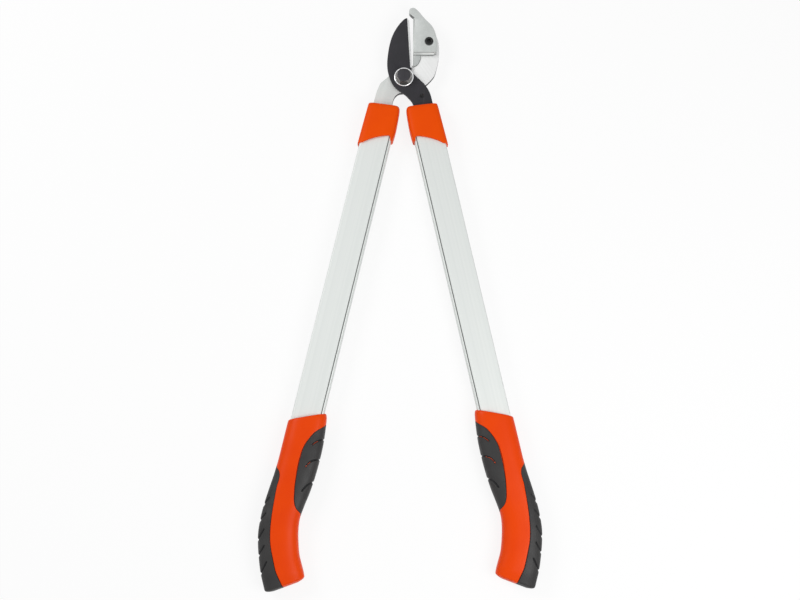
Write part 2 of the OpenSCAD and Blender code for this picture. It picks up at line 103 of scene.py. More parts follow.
def sections(outer: Array, inner: Array, at: Array, size: Pair, top: float) -> tuple[Array, Array, Array]:
    """Lays sections between two outlines.

    Args:
        outer: table of the outer outline, in shares of the size.
        inner: table of the inner outline.
        at: station number of each section.
        size: width and length of the whole.
        top: how far below the pivot the outlines begin.

    Returns:
        Middle, direction inward and width of each section.
    """
    scale, base = np.array([size[0], -size[1]]), np.array([0.0, -top])
    first, last = along(outer, at) * scale + base, along(inner, at) * scale + base
    span = last - first
    wide = np.hypot(span[:, 0], span[:, 1])
    return (first + last) / 2, span / wide[:, None], wide


def powered(values: Array, power: float) -> Array:
    """Raises the size of each value to a power and keeps its sign."""
    return np.sign(values) * np.abs(values) ** power


def rounded_edge(distance: Array, radius: float) -> Array:
    """Gives how far a quarter-round edge has sunk at a distance from the edge."""
    inside = np.clip(radius - distance, 0.0, radius)
    return radius - np.sqrt(np.maximum(radius * radius - inside * inside, 0.0))


def path_length(points: Array) -> Array:
    """Gives the way along a row of points to each of them."""
    return np.concatenate([[0.0], np.cumsum(np.linalg.norm(np.diff(points, axis=0), axis=1))])


def linked(name: str, data: bpy.types.ID) -> Piece:
    """Makes an object of some data and links it to the scene."""
    piece = bpy.data.objects.new(name, data)
    bpy.context.scene.collection.objects.link(piece)
    return piece


def new_mesh(name: str, spots: Sequence, faces: Sequence, edges: Sequence = ()) -> bpy.types.Mesh:
    """Makes a mesh of points in metres."""
    mesh = bpy.data.meshes.new(name)
    mesh.from_pydata(spots, edges, faces)
    return mesh


def store(mesh: bpy.types.Mesh, name: str, domain: str, values: Sequence) -> None:
    """Keeps a value on each face or point of a mesh."""
    mesh.attributes.new(name, "FLOAT", domain).data.foreach_set("value", np.array(values, np.float32))


def shell_mesh(name: str, rings: Array) -> Piece:
    """Closes a stack of rings into one solid object.

    Args:
        name: name of the object.
        rings: points of the rings in metres, ring by ring.

    Returns:
        A smooth-shaded closed mesh object, linked to the scene.
    """
    count, width = rings.shape[:2]
    edge = np.arange(width)
    turn = (edge + 1) % width
    base = np.arange(count - 1)[:, None] * width
    start, after = base + edge, base + turn
    quads = np.stack([start, after, after + width, start + width], -1).reshape(-1, 4)
    top = (count - 1) * width
    low = np.stack([turn, edge, np.full(width, count * width)], -1)
    high = np.stack([edge + top, turn + top, np.full(width, count * width + 1)], -1)
    spots = np.concatenate([rings.reshape(-1, 3), [rings[0].mean(0), rings[-1].mean(0)]])
    faces = quads.tolist() + low.tolist() + high.tolist()
    return finished_object(name, new_mesh(name, spots.tolist(), faces))


def finished_object(name: str, mesh: bpy.types.Mesh, sharp: float = 38.0) -> Piece:
    """Cleans a mesh, points its faces outward, shades it and links it to the scene.

    Args:
        name: name of the object.
        mesh: the mesh, which is changed in place.
        sharp: angle in degrees over which an edge is shaded sharp.

    Returns:
        The new object.
    """
    bm = bmesh.new()
    bm.from_mesh(mesh)
    bmesh.ops.remove_doubles(bm, verts=bm.verts, dist=WELD)
    bmesh.ops.dissolve_degenerate(bm, edges=bm.edges, dist=NO_LENGTH)
    bmesh.ops.recalc_face_normals(bm, faces=bm.faces)
    bm.to_mesh(mesh)
    bm.free()
    mesh.shade_smooth()
    mesh.set_sharp_from_angle(angle=math.radians(sharp))
    return linked(name, mesh)


def settled(piece: Piece) -> Piece:
    """Turns an object with modifiers into a plain mesh object of the same name."""
    bpy.context.view_layer.update()
    graph = bpy.context.evaluated_depsgraph_get()
    mesh = bpy.data.meshes.new_from_object(piece.evaluated_get(graph), depsgraph=graph)
    piece.modifiers.clear()
    old = piece.data
    piece.data = mesh
    bpy.data.meshes.remove(old)
    return piece


@dataclass(frozen=True)
class SoftCopy:
    """A copy of a solid with rounded outer edges, whose corners a shape may move before the rounding.

    Its faces carry three values: edge is 1 on the rounding, wall is 1 on the sides, and under rises to 1 on
    what faces the handles. Finishes paint light and shade on the faces that wall and under mark.
    """

    node: str
    name: str
    edge: float
    shape: Optional[Callable[[Vector], None]] = None
    limit: float = 40.0
    segments: int = 3
    flat_turn: float = 0.6
    flat_area: float = 4e-6
    same_way: float = 0.9995
    slim: float = 4.4
    upright: float = 0.03
    under_from: float = 0.4
    under_span: float = 0.35

    def build(self) -> Piece:
        """Builds the copy.

        Returns:
            The new object.
        """
        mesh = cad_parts[self.node].data.copy()
        mesh.materials.clear()
        bm = bmesh.new()
        bm.from_mesh(mesh)
        bmesh.ops.remove_doubles(bm, verts=bm.verts, dist=COPY_WELD)
        flat_turn = math.radians(self.flat_turn)
        bmesh.ops.dissolve_limit(bm, angle_limit=flat_turn, verts=bm.verts, edges=bm.edges)
        for corner in bm.verts if self.shape else []:
            self.shape(corner.co)
        bmesh.ops.recalc_face_normals(bm, faces=bm.faces)
        weight = bm.edges.layers.float.new("bevel_weight_edge")
        for line in bm.edges:
            turn = math.degrees(line.calc_face_angle_signed(0.0))
            line[weight] = float(turn > self.limit)
            line.smooth = turn > -self.limit
        flats = [face.normal.copy() for face in bm.faces if face.calc_area() > self.flat_area]
        bm.to_mesh(mesh)
        bm.free()
        mesh.shade_smooth()
        piece = linked(self.name, mesh)
        rounding = piece.modifiers.new("rounding", "BEVEL")
        rounding.limit_method = "WEIGHT"
        rounding.width = self.edge * MM
        rounding.segments = self.segments
        rounding.harden_normals = True
        piece = settled(piece)
        self.mark(piece.data, flats)
        return piece

    def mark(self, mesh: bpy.types.Mesh, flats: Sequence[Vector]) -> None:
        """Keeps edge, wall and under on the faces.

        Args:
            mesh: the rounded mesh.
            flats: directions of the large faces before the rounding.
        """
        narrow = (self.slim * self.edge * MM) ** 2
        rows = []
        for face in mesh.polygons:
            slim = face.area < narrow and all(face.normal.dot(flat) < self.same_way for flat in flats)
            side = abs(face.normal.z) < self.upright and not slim
            under = min(max((-face.normal.y - self.under_from) / self.under_span, 0.0), 1.0)
            rows.append((slim, side, under * (side or slim and not self.shape)))
        # wall and under mark the faces where finishes paint light and shade.
        for name, values in zip(("edge", "wall", "under"), zip(*rows)):
            store(mesh, name, "FACE", values)


# --------------------------------------------------------------------------- node graphs


class Graph:
    """Adds nodes to a tree and joins them in one call."""

    def __init__(self, tree: bpy.types.NodeTree) -> None:
        """Keeps the tree."""
        self.tree = tree

    def feed(self, node: Node, sockets: dict) -> Node:
        """Sets inputs of a node, by name or number, to values or to the outputs that feed them."""
        for key, value in sockets.items():
            if isinstance(value, Socket):
                self.tree.links.new(value, node.inputs[key])
            else:
                node.inputs[key].default_value = value
        return node

    def add(self, kind: str, sockets: Optional[dict] = None, **settings: object) -> Node:
        """Adds a node.

        Args:
            kind: the node's type.
            sockets: input name or number, to a value or to the output that feeds it.
            settings: the node's own properties.

        Returns:
            The new node.
        """
        node = self.tree.nodes.new(kind)
        for name, value in settings.items():
            setattr(node, name, value)
        return self.feed(node, sockets or {})

    def math(self, kind: str, *values: object) -> Socket:
        """Adds a Math node and returns its output."""
        return self.add("ShaderNodeMath", dict(enumerate(values)), operation=kind).outputs[0]

    def vector(self, kind: str, sockets: dict) -> Socket:
        """Adds a Vector Math node and returns its vector."""
        return self.add("ShaderNodeVectorMath", sockets, operation=kind).outputs[0]

    def ramp(self, value: Socket, span: Pair, to: Pair = (0.0, 1.0), unit: float = 1.0) -> Socket:
        """Maps a value smoothly from one span to another, and clamps it.

        Args:
            value: the value that is mapped.
            span: where the ramp begins and ends.
            to: what it gives at the two ends.
            unit: size of the unit of the span.

        Returns:
            The mapped value.
        """
        low, high = (end * unit for end in span)
        sockets = {"Value": value, "From Min": low, "From Max": high, "To Min": to[0], "To Max": to[1]}
        return self.add("ShaderNodeMapRange", sockets, interpolation_type="SMOOTHSTEP").outputs["Result"]

    def blend(self, share: Socket, first: object, second: object) -> Socket:
        """Mixes two colours and returns the result."""
        a, b = (paint if isinstance(paint, Socket) else (*paint, 1.0) for paint in (first, second))
        return self.add("ShaderNodeMix", {0: share, 6: a, 7: b}, data_type="RGBA").outputs[2]

    def noise(self, place: Socket, scale: object, detail: float) -> Socket:
        """Adds a noise and returns its value."""
        sockets = {"Vector": place, "Scale": scale, "Detail": detail}
        return self.add("ShaderNodeTexNoise", sockets).outputs[0]

    def turned(self, place: Socket, angles: object) -> Socket:
        """Turns a place round the axes."""
        sockets = {"Vector": place, "Rotation": angles}
        return self.add("ShaderNodeVectorRotate", sockets, rotation_type="EULER_XYZ").outputs[0]

    def group(self, name: str, sockets: dict) -> Node:
        """Places a shared node group and sets its inputs."""
        return self.add("ShaderNodeGroup", sockets, node_tree=bpy.data.node_groups[name])

    def attribute(self, name: str) -> Socket:
        """Reads a value that the mesh carries."""
        return self.add("ShaderNodeAttribute", attribute_name=name).outputs["Fac"]

    def place(self) -> Socket:
        """Gives the place on the object."""
        return self.add("ShaderNodeTexCoord").outputs["Object"]

    def split(self, place: Socket) -> tuple[Socket, Socket, Socket]:
        """Splits a place into X, Y and Z."""
        return tuple(self.add("ShaderNodeSeparateXYZ", {0: place}).outputs)

    def flat(self, spot: Sequence[Socket]) -> Socket:
        """Joins X and Y of a split place at height 0."""
        return self.add("ShaderNodeCombineXYZ", {"X": spot[0], "Y": spot[1]}).outputs[0]

    def away(self, spot: Sequence[Socket], middle: Pair) -> Socket:
        """Gives the distance of a split place from a point in millimetres, seen along Z."""
        sockets = {0: self.flat(spot), 1: (middle[0] * MM, middle[1] * MM, 0.0)}
        return self.add("ShaderNodeVectorMath", sockets, operation="DISTANCE").outputs["Value"]


def fresh(owner: bpy.types.ID) -> Graph:
    """Gives the emptied node graph of a material or a world."""
    owner.use_nodes = True
    owner.node_tree.nodes.clear()
    return Graph(owner.node_tree)


def new_group(
    name: str, takes: dict[str, str], gives: dict[str, str], kind: str = "ShaderNodeTree"
) -> tuple[Graph, Node, Node]:
    """Starts a node group.

    Args:
        name: name of the group.
        takes: its inputs, with their kinds.
        gives: its outputs, with their kinds.
        kind: type of the tree.

    Returns:
        The graph, its input node and its output node.
    """
    tree = bpy.data.node_groups.new(name, kind)
    for way, sockets in (("INPUT", takes), ("OUTPUT", gives)):
        for key, value in sockets.items():
            tree.interface.new_socket(name=key, in_out=way, socket_type=f"NodeSocket{value}")
    graph = Graph(tree)
    return graph, graph.add("NodeGroupInput"), graph.add("NodeGroupOutput")


class SharedEffects:
    """Shader node groups that several finishes use."""

    GRAIN = "moulded_grain"
    BRUSH = "brushed_lines"
    WEAR_AND_SHADING = "worn_edges"
    CELL_SHARE = 0.5
    CLOUD_SPAN = (0.3, 0.7)
    BAND_SCALE = 0.11
    BAND_SPAN = (0.32, 0.68)
    PATCH_SPAN = (0.38, 0.62)

    def build(self) -> None:
        """Builds the groups once."""
        self.build_grain()
        self.build_brush()
        self.build_wear_and_shading()

    def start(self, name: str, takes: Sequence[str], gives: Sequence[str]) -> tuple[Graph, list, Node]:
        """Starts a group of values, and gives its graph, its inputs and its output node."""
        graph, start, end = new_group(name, dict.fromkeys(takes, "Float"), dict.fromkeys(gives, "Float"))
        return graph, list(start.outputs)[:len(takes)], end

    def build_grain(self) -> None:
        """Fine pits and soft clouds of a moulded or cast skin."""
        graph, (fine, cloud), end = self.start(self.GRAIN, ("Fine Scale", "Cloud Scale"), ("Pits", "Clouds"))
        place = graph.place()
        cells = graph.add("ShaderNodeTexVoronoi", {"Vector": place, "Scale": fine}).outputs["Distance"]
        cells = graph.math("MULTIPLY", cells, self.CELL_SHARE)
        pits = graph.math("ADD", graph.noise(place, fine, detail=3.0), cells)
        graph.feed(end, {0: pits, 1: graph.ramp(graph.noise(place, cloud, detail=2.0), self.CLOUD_SPAN)})

    def build_brush(self) -> None:
        """Long fine lines that a brush or a die leaves along one direction."""
        names = ("Turn", "Across", "Along")
        graph, (turn, across, lengthwise), end = self.start(self.BRUSH, names, ("Lines", "Bands"))
        angles = graph.add("ShaderNodeCombineXYZ", {"Z": turn}).outputs[0]
        scale = graph.add("ShaderNodeCombineXYZ", {"X": across, "Y": lengthwise, "Z": across}).outputs[0]
        sized = graph.vector("MULTIPLY", {0: graph.turned(graph.place(), angles), 1: scale})
        wide = graph.vector("SCALE", {0: sized, "Scale": self.BAND_SCALE})
        bands = graph.ramp(graph.noise(wide, scale=1.0, detail=1.0), self.BAND_SPAN)
        graph.feed(end, {0: graph.noise(sized, scale=1.0, detail=2.0), 1: bands})

    def build_wear_and_shading(self) -> None:
        """Patches on the rounded edges of a piece, which some finishes use for real wear and others for
        painted highlights and shade.
        """
        graph, (amount, scale), end = self.start(self.WEAR_AND_SHADING, ("Amount", "Patch Scale"), ("Mask",))
        patches = graph.ramp(graph.noise(graph.place(), scale, detail=3.0), self.PATCH_SPAN)
        patches = graph.math("MULTIPLY", graph.attribute("edge"), patches)
        graph.feed(end, {0: graph.math("MULTIPLY", patches, amount)})


def shaded(colour: Colour, share: float) -> Colour:
    """Darkens a colour to a share of itself."""
    return tuple(share * part for part in colour)


@dataclass(frozen=True)
class Finish:
    """A surface finish with its own node graph.

    The tint is the second colour that clouds or lines bring in, and bump is in millimetres. The wall and
    under colours are painted light and shade on the sides and on what faces the handles.
    """

    name: str
    colour: Colour
    tint: Colour
    metal: float = 0.0
    rough: Pair = (0.4, 0.5)
    bump: float = 0.02
    fine_scale: float = 1500.0
    cloud_scale: float = 40.0
    specular: float = 0.5
    # Rounded edges: real wear on some finishes, painted highlights and painted shade on others.
    wear_and_shading: float = 0.0
    wear_and_shading_colour: Colour = (0.6, 0.6, 0.6)
    wear_scale: float = 160.0
    # Painted light and shade: colours laid on the sides and on what faces the handles.
    wall: Optional[Colour] = None
    under: Optional[Colour] = None
    specks: float = 0.0
    speck_span: Pair = (0.62, 0.86)
    speck_shade: float = 0.35

    def build(self) -> bpy.types.Material:
        """Builds the material and returns it."""
        material = bpy.data.materials.new(self.name)
        graph = fresh(material)
        sockets = {"Metallic": self.metal, "Specular IOR Level": self.specular}
        shader = graph.add("ShaderNodeBsdfPrincipled", sockets)
        graph.add("ShaderNodeOutputMaterial", {"Surface": shader.outputs[0]})
        self.paint(graph, shader)
        return material

    def texture(self, graph: Graph) -> tuple[Socket, Socket]:
        """Gives the height and the colour share of the skin."""
        sockets = {"Fine Scale": self.fine_scale, "Cloud Scale": self.cloud_scale}
        skin = graph.group(SharedEffects.GRAIN, sockets)
        return skin.outputs["Pits"], skin.outputs["Clouds"]

    def paint(self, graph: Graph, shader: Node) -> None:
        """Feeds colour, roughness and bump to the shader."""
        height, share = self.texture(graph)
        colour = graph.blend(share, self.colour, self.tint)
        if self.specks:
            spots = graph.math("MULTIPLY", graph.ramp(height, self.speck_span), self.specks)
            colour = graph.blend(spots, colour, shaded(self.colour, self.speck_shade))
        # Painted light and shade on the sides and on what faces the handles.
        for mark, paint in (("wall", self.wall), ("under", self.under)):
            if paint:
                colour = graph.blend(graph.attribute(mark), colour, paint)
        # Real wear on some finishes, and painted highlights and shade on others, along the rounded edges.
        if self.wear_and_shading:
            edge_mask = graph.group(SharedEffects.WEAR_AND_SHADING, {"Amount": self.wear_and_shading, "Patch Scale": self.wear_scale})
            colour = graph.blend(edge_mask.outputs["Mask"], colour, self.wear_and_shading_colour)
        graph.feed(shader, {"Base Color": self.overlay(graph, shader, colour)})
        if not shader.inputs["Roughness"].is_linked:
            graph.feed(shader, {"Roughness": graph.ramp(share, (0.0, 1.0), self.rough)})
        sockets = {"Height": self.relief(graph, height), "Distance": self.bump * MM, "Strength": 1.0}
        graph.feed(shader, {"Normal": graph.add("ShaderNodeBump", sockets).outputs[0]})

    def overlay(self, graph: Graph, shader: Node, colour: Socket) -> Socket:
        """Lets a special finish lay something over the colour; a plain finish changes nothing."""
        return colour

    def relief(self, graph: Graph, height: Socket) -> Socket:
        """Lets a special finish change the height of the skin; a plain finish changes nothing."""
        return height


@dataclass(frozen=True)
class BrushedFinish(Finish):
    """A metal finish with lines along one direction, given in degrees from +Y."""

    turn: float = 0.0
    across: float = 2500.0
    along: float = 14.0

    def texture(self, graph: Graph) -> tuple[Socket, Socket]:
        """Gives the lines as height and their bands as colour share."""
        sockets = {"Turn": math.radians(-self.turn), "Across": self.across, "Along": self.along}
        skin = graph.group(SharedEffects.BRUSH, sockets)
        return skin.outputs["Lines"], skin.outputs["Bands"]


@dataclass(frozen=True)
class TubeFinish(BrushedFinish):
    """Drawn and anodised tube with painted shade in its rolled line."""

    # Painted shade in the rolled line.
    painted_shade: Colour = (0.16, 0.165, 0.16)
    painted_shade_span: Pair = (0.1, 0.8)

    def overlay(self, graph: Graph, shader: Node, colour: Socket) -> Socket:
        """Paints shade into the rolled line."""
        return graph.blend(graph.ramp(graph.attribute("groove"), self.painted_shade_span), colour, self.painted_shade)


@dataclass(frozen=True)
class ShankFinish(BrushedFinish):
    """Brushed plate steel with painted shade that darkens it towards its shank, across the pivot."""

    # Painted shade over the shank.
    painted_shade_tone: Colour = (0.6, 0.62, 0.605)
    fade: Pair = (-24.0, 16.0)

    def overlay(self, graph: Graph, shader: Node, colour: Socket) -> Socket:
        """Lays the painted shade over the shank."""
        # Painted shade over the shank, left off the sides.
        share = graph.ramp(graph.split(graph.place())[0], self.fade, FALL, MM)
        flat = graph.math("SUBTRACT", share, graph.attribute("wall"))
        return graph.blend(graph.math("MAXIMUM", flat, 0.0), colour, self.painted_shade_tone)


@dataclass(frozen=True)
class FootFinish(Finish):
    """A cast skin with painted light on its lower wall, painted shade on the heel below it, and painted shade
    at the foot and round the screw.
    """

    # Painted shade at the foot, along the ridge above the wall and round the screw.
    painted_shade: Colour = (0.045, 0.046, 0.046)
    # Painted light on the lower wall.
    pale: Colour = (0.86, 0.885, 0.87)
    # Painted shade on the heel.
    painted_shade_tone: Colour = (0.4, 0.42, 0.415)
    painted_shade_tone_share: float = 0.56
    wall_at: Pair = (30.7, 30.95)
    wall_foot: Pair = (16.3, 16.9)
    heel_at: Pair = (29.65, 29.85)
    heel_top: Pair = (16.1, 16.5)
    heel_foot: Pair = (15.2, 15.95)
    foot_share: float = 0.9
    ridge_at: Pair = (31.2, 31.45)
    ridge: Pair = (22.4, 22.8)
    ridge_share: float = 0.45
    screw: Pair = (30.48, 44.85)
    screw_ring: Pair = (5.3, 5.65)
    ring_share: float = 0.82

    def overlay(self, graph: Graph, shader: Node, colour: Socket) -> Socket:
        """Lays the painted light on the wall, and the painted shade on the heel, at the foot and round the
        screw, over the skin.

        Args:
            graph: the material's graph.
            shader: its shader, which is not used.
            colour: the colour of the skin.

        Returns:
            The colour of all of them.
        """
        past = partial(graph.ramp, unit=MM)
        spot = graph.split(graph.place())
        ahead, up = spot[1:]
        # Painted light on the lower wall, then painted shade on the heel, the ridge, the foot and round the
        # screw.
        wall = graph.math("MULTIPLY", past(ahead, self.wall_at, FALL), past(up, self.heel_top))
        colour = graph.blend(wall, colour, self.pale)
        colour = graph.blend(past(ahead, self.heel_at, (self.painted_shade_tone_share, 0.0)), colour, self.painted_shade_tone)
        near_ridge = past(ahead, self.ridge_at, (self.ridge_share, 0.0))
        ridge = graph.math("MULTIPLY", near_ridge, past(up, self.ridge))
        near_foot = past(ahead, self.heel_at, (0.0, self.foot_share))
        foot = graph.math("MULTIPLY", near_foot, past(up, self.wall_foot, FALL))
        heel = past(up, self.heel_foot, (self.foot_share, 0.0))
        low = graph.math("MAXIMUM", graph.math("MAXIMUM", ridge, foot), heel)
        ring = past(graph.away(spot, self.screw), self.screw_ring, (self.ring_share, 0.0))
        return graph.blend(graph.math("MAXIMUM", low, ring), colour, self.painted_shade)


@dataclass(frozen=True)
class RimFinish(BrushedFinish):
    """A bright rim round a floor that carries painted shade."""

    # Painted shade on the floor inside the rim.
    floor: Colour = (0.3, 0.295, 0.29)
    rim_at: Pair = (9.9, 10.25)

    def overlay(self, graph: Graph, shader: Node, colour: Socket) -> Socket:
        """Lays the painted shade on the floor inside the rim."""
        away = graph.away(graph.split(graph.place()), (0.0, 0.0))
        return graph.blend(graph.ramp(away, self.rim_at, FALL, MM), colour, self.floor)


@dataclass(frozen=True)
class BladeFinish(Finish):
    """A dark coating with a bright ground band along the edge, and painted shade in the dimple of the shank.
    """

    ground: Colour = (0.97, 0.975, 0.975)
    ground_metal: float = 0.2
    ground_rough: float = 0.38
    lines: Spot = (60.0, 2600.0, 60.0)
    line_span: Pair = (0.3, 0.7)
    line_shade: float = 0.82
    # Painted shade in the dimple.
    painted_shade: Colour = (0.006, 0.006, 0.007)
    dimple: Pair = (22.2, -23.0)
    dimple_span: Pair = (2.275, 3.5)
    edge_at: float = 10.8
    band: float = 2.3
    band_soft: float = 0.05
    band_from: Pair = (12.4, 12.8)
    lift: float = 0.8
    lift_from: Pair = (7.0, 12.4)
    open_angle: float = 3.6

    def overlay(self, graph: Graph, shader: Node, colour: Socket) -> Socket:
        """Lays the ground band over the coating and makes it metal, and lays painted shade in the dimple.

        Args:
            graph: the material's graph.
            shader: its shader.
            colour: the coating's colour.

        Returns:
            The colour of both.
        """
        place = self.shut(graph)
        beside, ahead, _ = graph.split(place)
        start = self.edge_at - self.band
        band = graph.ramp(beside, (start - self.band_soft, start + self.band_soft), unit=MM)
        ground = graph.math("MULTIPLY", band, graph.ramp(ahead, self.band_from, unit=MM))
        lines = graph.noise(graph.vector("MULTIPLY", {0: place, 1: self.lines}), scale=1.0, detail=2.0)
        dark = shaded(self.ground, self.line_shade)
        steel = graph.blend(graph.ramp(lines, self.line_span), self.ground, dark)
        smooth = graph.add("ShaderNodeMix", {0: ground, 2: sum(self.rough) / 2, 3: self.ground_rough})
        metal = graph.math("MULTIPLY", ground, self.ground_metal)
        graph.feed(shader, {"Metallic": metal, "Roughness": smooth.outputs[0]})
        # Painted shade in the dimple of the shank.
        away = graph.away(graph.split(graph.place()), self.dimple)
        coating = graph.blend(graph.ramp(away, self.dimple_span, FALL, MM), colour, self.painted_shade)
        return graph.blend(ground, coating, steel)

    def shut(self, graph: Graph) -> Socket:
        """Turns a place to where it lies with the jaw shut, so that the edge runs along Y."""
        return graph.turned(graph.place(), (0.0, 0.0, math.radians(-self.open_angle)))

    def relief(self, graph: Graph, height: Socket) -> Socket:
        """Lifts the ground band towards the edge, so that it catches light as a hollow-ground band does."""
        beside, ahead, _ = graph.split(self.shut(graph))
        start, end = (self.edge_at - self.band) * MM, self.edge_at * MM
        most = self.band * self.lift / self.bump
        sockets = {"Value": beside, "From Min": start, "From Max": end, "To Max": most}
        rise = graph.add("ShaderNodeMapRange", sockets).outputs["Result"]
        rise = graph.math("MULTIPLY", rise, graph.ramp(ahead, self.lift_from, unit=MM))
        return graph.math("ADD", height, rise)


@dataclass(frozen=True)
class PadFinish(Finish):
    """Soft rubber with painted shade in its grooves, some of which show the hard grip below as a line."""

    # Painted shade in the grooves.
    groove_shade: Colour = (0.004, 0.004, 0.005)
    groove_shade_span: Pair = (0.1, 0.55)
    line: Colour = (0.52, 0.06, 0.012)
    line_span: Pair = (0.25, 0.6)

    def overlay(self, graph: Graph, shader: Node, colour: Socket) -> Socket:
        """Paints shade into the grooves and lays the lines in them."""
        grooved = graph.blend(graph.ramp(graph.attribute("groove"), self.groove_shade_span), colour, self.groove_shade)
        return graph.blend(graph.ramp(graph.attribute("stripe"), self.line_span), grooved, self.line)


FINISHES = [
    BladeFinish(
        "blade_coated", (0.029, 0.028, 0.033), (0.024, 0.0235, 0.027), rough=(0.46, 0.56), bump=0.012,
        fine_scale=2600.0, cloud_scale=60.0, specular=0.22, wear_and_shading=0.35, wear_and_shading_colour=(0.09, 0.09, 0.095),
    ),
    # Arm: its wall and under colours are painted shade on its sides, and its dark edge colour is painted
    # shade along the rounded edges.
    ShankFinish(
        "arm_steel", (0.87, 0.875, 0.87), (0.835, 0.84, 0.835), metal=0.3, rough=(0.42, 0.5), bump=0.003,
        specular=0.2, wear_and_shading=1.0, wear_and_shading_colour=(0.11, 0.11, 0.11), wall=(0.03, 0.03, 0.032),
        under=(0.03, 0.03, 0.032), turn=35.0, across=4200.0, along=40.0,
    ),
    # Anvil: its under colour is painted shade on the sides that face the handles, such as the underside of
    # the nose.
    FootFinish(
        "anvil_alloy", (0.603, 0.627, 0.613), (0.563, 0.588, 0.573), metal=0.25, rough=(0.5, 0.58), bump=0.03,
        fine_scale=1400.0, cloud_scale=140.0, wear_and_shading=0.3, wear_and_shading_colour=(0.68, 0.69, 0.68),
        under=(0.11, 0.112, 0.112), specks=0.16,
    ),
    # Screw: its wall colour is painted shade on the sides, and its lighter edge colour a painted highlight on
    # the rounded edges.
    Finish(
        "black_screw", (0.02, 0.021, 0.021), (0.014, 0.015, 0.015), metal=0.2, rough=(0.36, 0.48), bump=0.01,
        fine_scale=2200.0, cloud_scale=200.0, specular=0.3, wear_and_shading=0.5, wear_and_shading_colour=(0.1, 0.105, 0.105),
        wall=(0.012, 0.012, 0.012),
    ),
    # Pivot bolt: its wall colour is painted light on the side facets, its under colour painted shade on the
    # facets that face the handles, and its lighter edge colour a painted highlight on the rounded edges.
    Finish(
        "pivot_dark", (0.042, 0.041, 0.046), (0.034, 0.033, 0.038), metal=0.3, rough=(0.38, 0.5), bump=0.012,
        fine_scale=2200.0, cloud_scale=160.0, specular=0.3, wear_and_shading=0.9, wear_and_shading_colour=(0.24, 0.23, 0.22),
        wall=(0.52, 0.51, 0.5), under=(0.085, 0.078, 0.075),
    ),
    BrushedFinish(
        "plain_steel", (0.52, 0.53, 0.54), (0.44, 0.45, 0.46), metal=0.9, rough=(0.3, 0.42), bump=0.004,
    ),
    RimFinish(
        "washer_chrome", (0.86, 0.865, 0.87), (0.8, 0.81, 0.82), metal=1.0, rough=(0.1, 0.18), bump=0.002,
        along=400.0, across=900.0,
    ),
    BrushedFinish(
        "washer_brass", (0.55, 0.4, 0.16), (0.47, 0.34, 0.13), metal=1.0, rough=(0.3, 0.4), bump=0.004,
    ),
    Finish(
        "grip_plastic", (0.84, 0.0635, 0.0015), (0.815, 0.0575, 0.001), rough=(0.33, 0.4), bump=0.01,
        cloud_scale=30.0, specular=0.11,
    ),
    Finish(
        "collar_plastic", (0.9, 0.084, 0.0012), (0.875, 0.078, 0.001), rough=(0.4, 0.47), bump=0.01,
        cloud_scale=30.0, specular=0.07,
    ),
    Finish("liner_plastic", (0.05, 0.05, 0.055), (0.042, 0.042, 0.046), rough=(0.5, 0.6)),
    PadFinish(
        "pad_rubber", (0.028, 0.0272, 0.0272), (0.0225, 0.0218, 0.0218), rough=(0.48, 0.58), bump=0.09,
        fine_scale=900.0, cloud_scale=50.0, specular=0.3,
    ),
]
FINISHES += [
    TubeFinish(
        f"tube_{side.name.lower()}", (0.705, 0.73, 0.712), (0.68, 0.707, 0.69), metal=0.3, rough=(0.54, 0.6),
        bump=0.003, turn=13.0 * side.value, across=2600.0, along=3.0,
    )
    for side in Side
]


class Finishes:
    """The materials of the tool, by the names of their finishes."""

    def __init__(self) -> None:
        """Builds the shared effects and then each material."""
        SharedEffects().build()
        self.materials = {finish.name: finish.build() for finish in FINISHES}

    def dress(self, piece: Piece, finish: str) -> None:
        """Gives a piece one finish in all its material slots."""
        if not piece.material_slots:
            piece.data.materials.append(self.materials[finish])
        for holder in piece.material_slots:
            holder.material = self.materials[finish]

    def hand_in(self, piece: Piece, node: str, body: str, slot: str, finish: Optional[str] = None) -> None:
        """Dresses a piece and lets it stand for its solid.

        Args:
            piece: the new object.
            node: the solid's name.
            body: the body that the piece rides on.
            slot: the record's material slot.
            finish: the finish that it gets, or nothing if that has the slot's name.
        """
        self.dress(piece, finish or slot)
        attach(piece, body)
        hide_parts(node)
        LOG.info("%s stands for %s", piece.name, node)


# --------------------------------------------------------------------------- levers


@dataclass(frozen=True)
class Lever:
    """Where a lever lies: across its tube axis, down from the pivot, and up from its middle plane."""

    side: Side
    offset: float
    drop: float
    body: str
    half_angle: float = 13.0
    middle: float = 15.0

    def place(self, points: Array) -> Array:
        """Moves lever points in millimetres to model points in metres."""
        turn = math.radians(self.half_angle)
        across = points[..., 0] + self.offset
        down = points[..., 1]
        moved = np.empty_like(points)
        moved[..., 0] = self.side.value * (across * math.cos(turn) - down * math.sin(turn))
        moved[..., 1] = across * math.sin(turn) + down * math.cos(turn)
        moved[..., 2] = points[..., 2] + self.middle
        return moved * MM

    def name(self, piece: str) -> str:
        """Names a piece of this lever."""
        return f"{self.side.name.lower()}_{piece}"


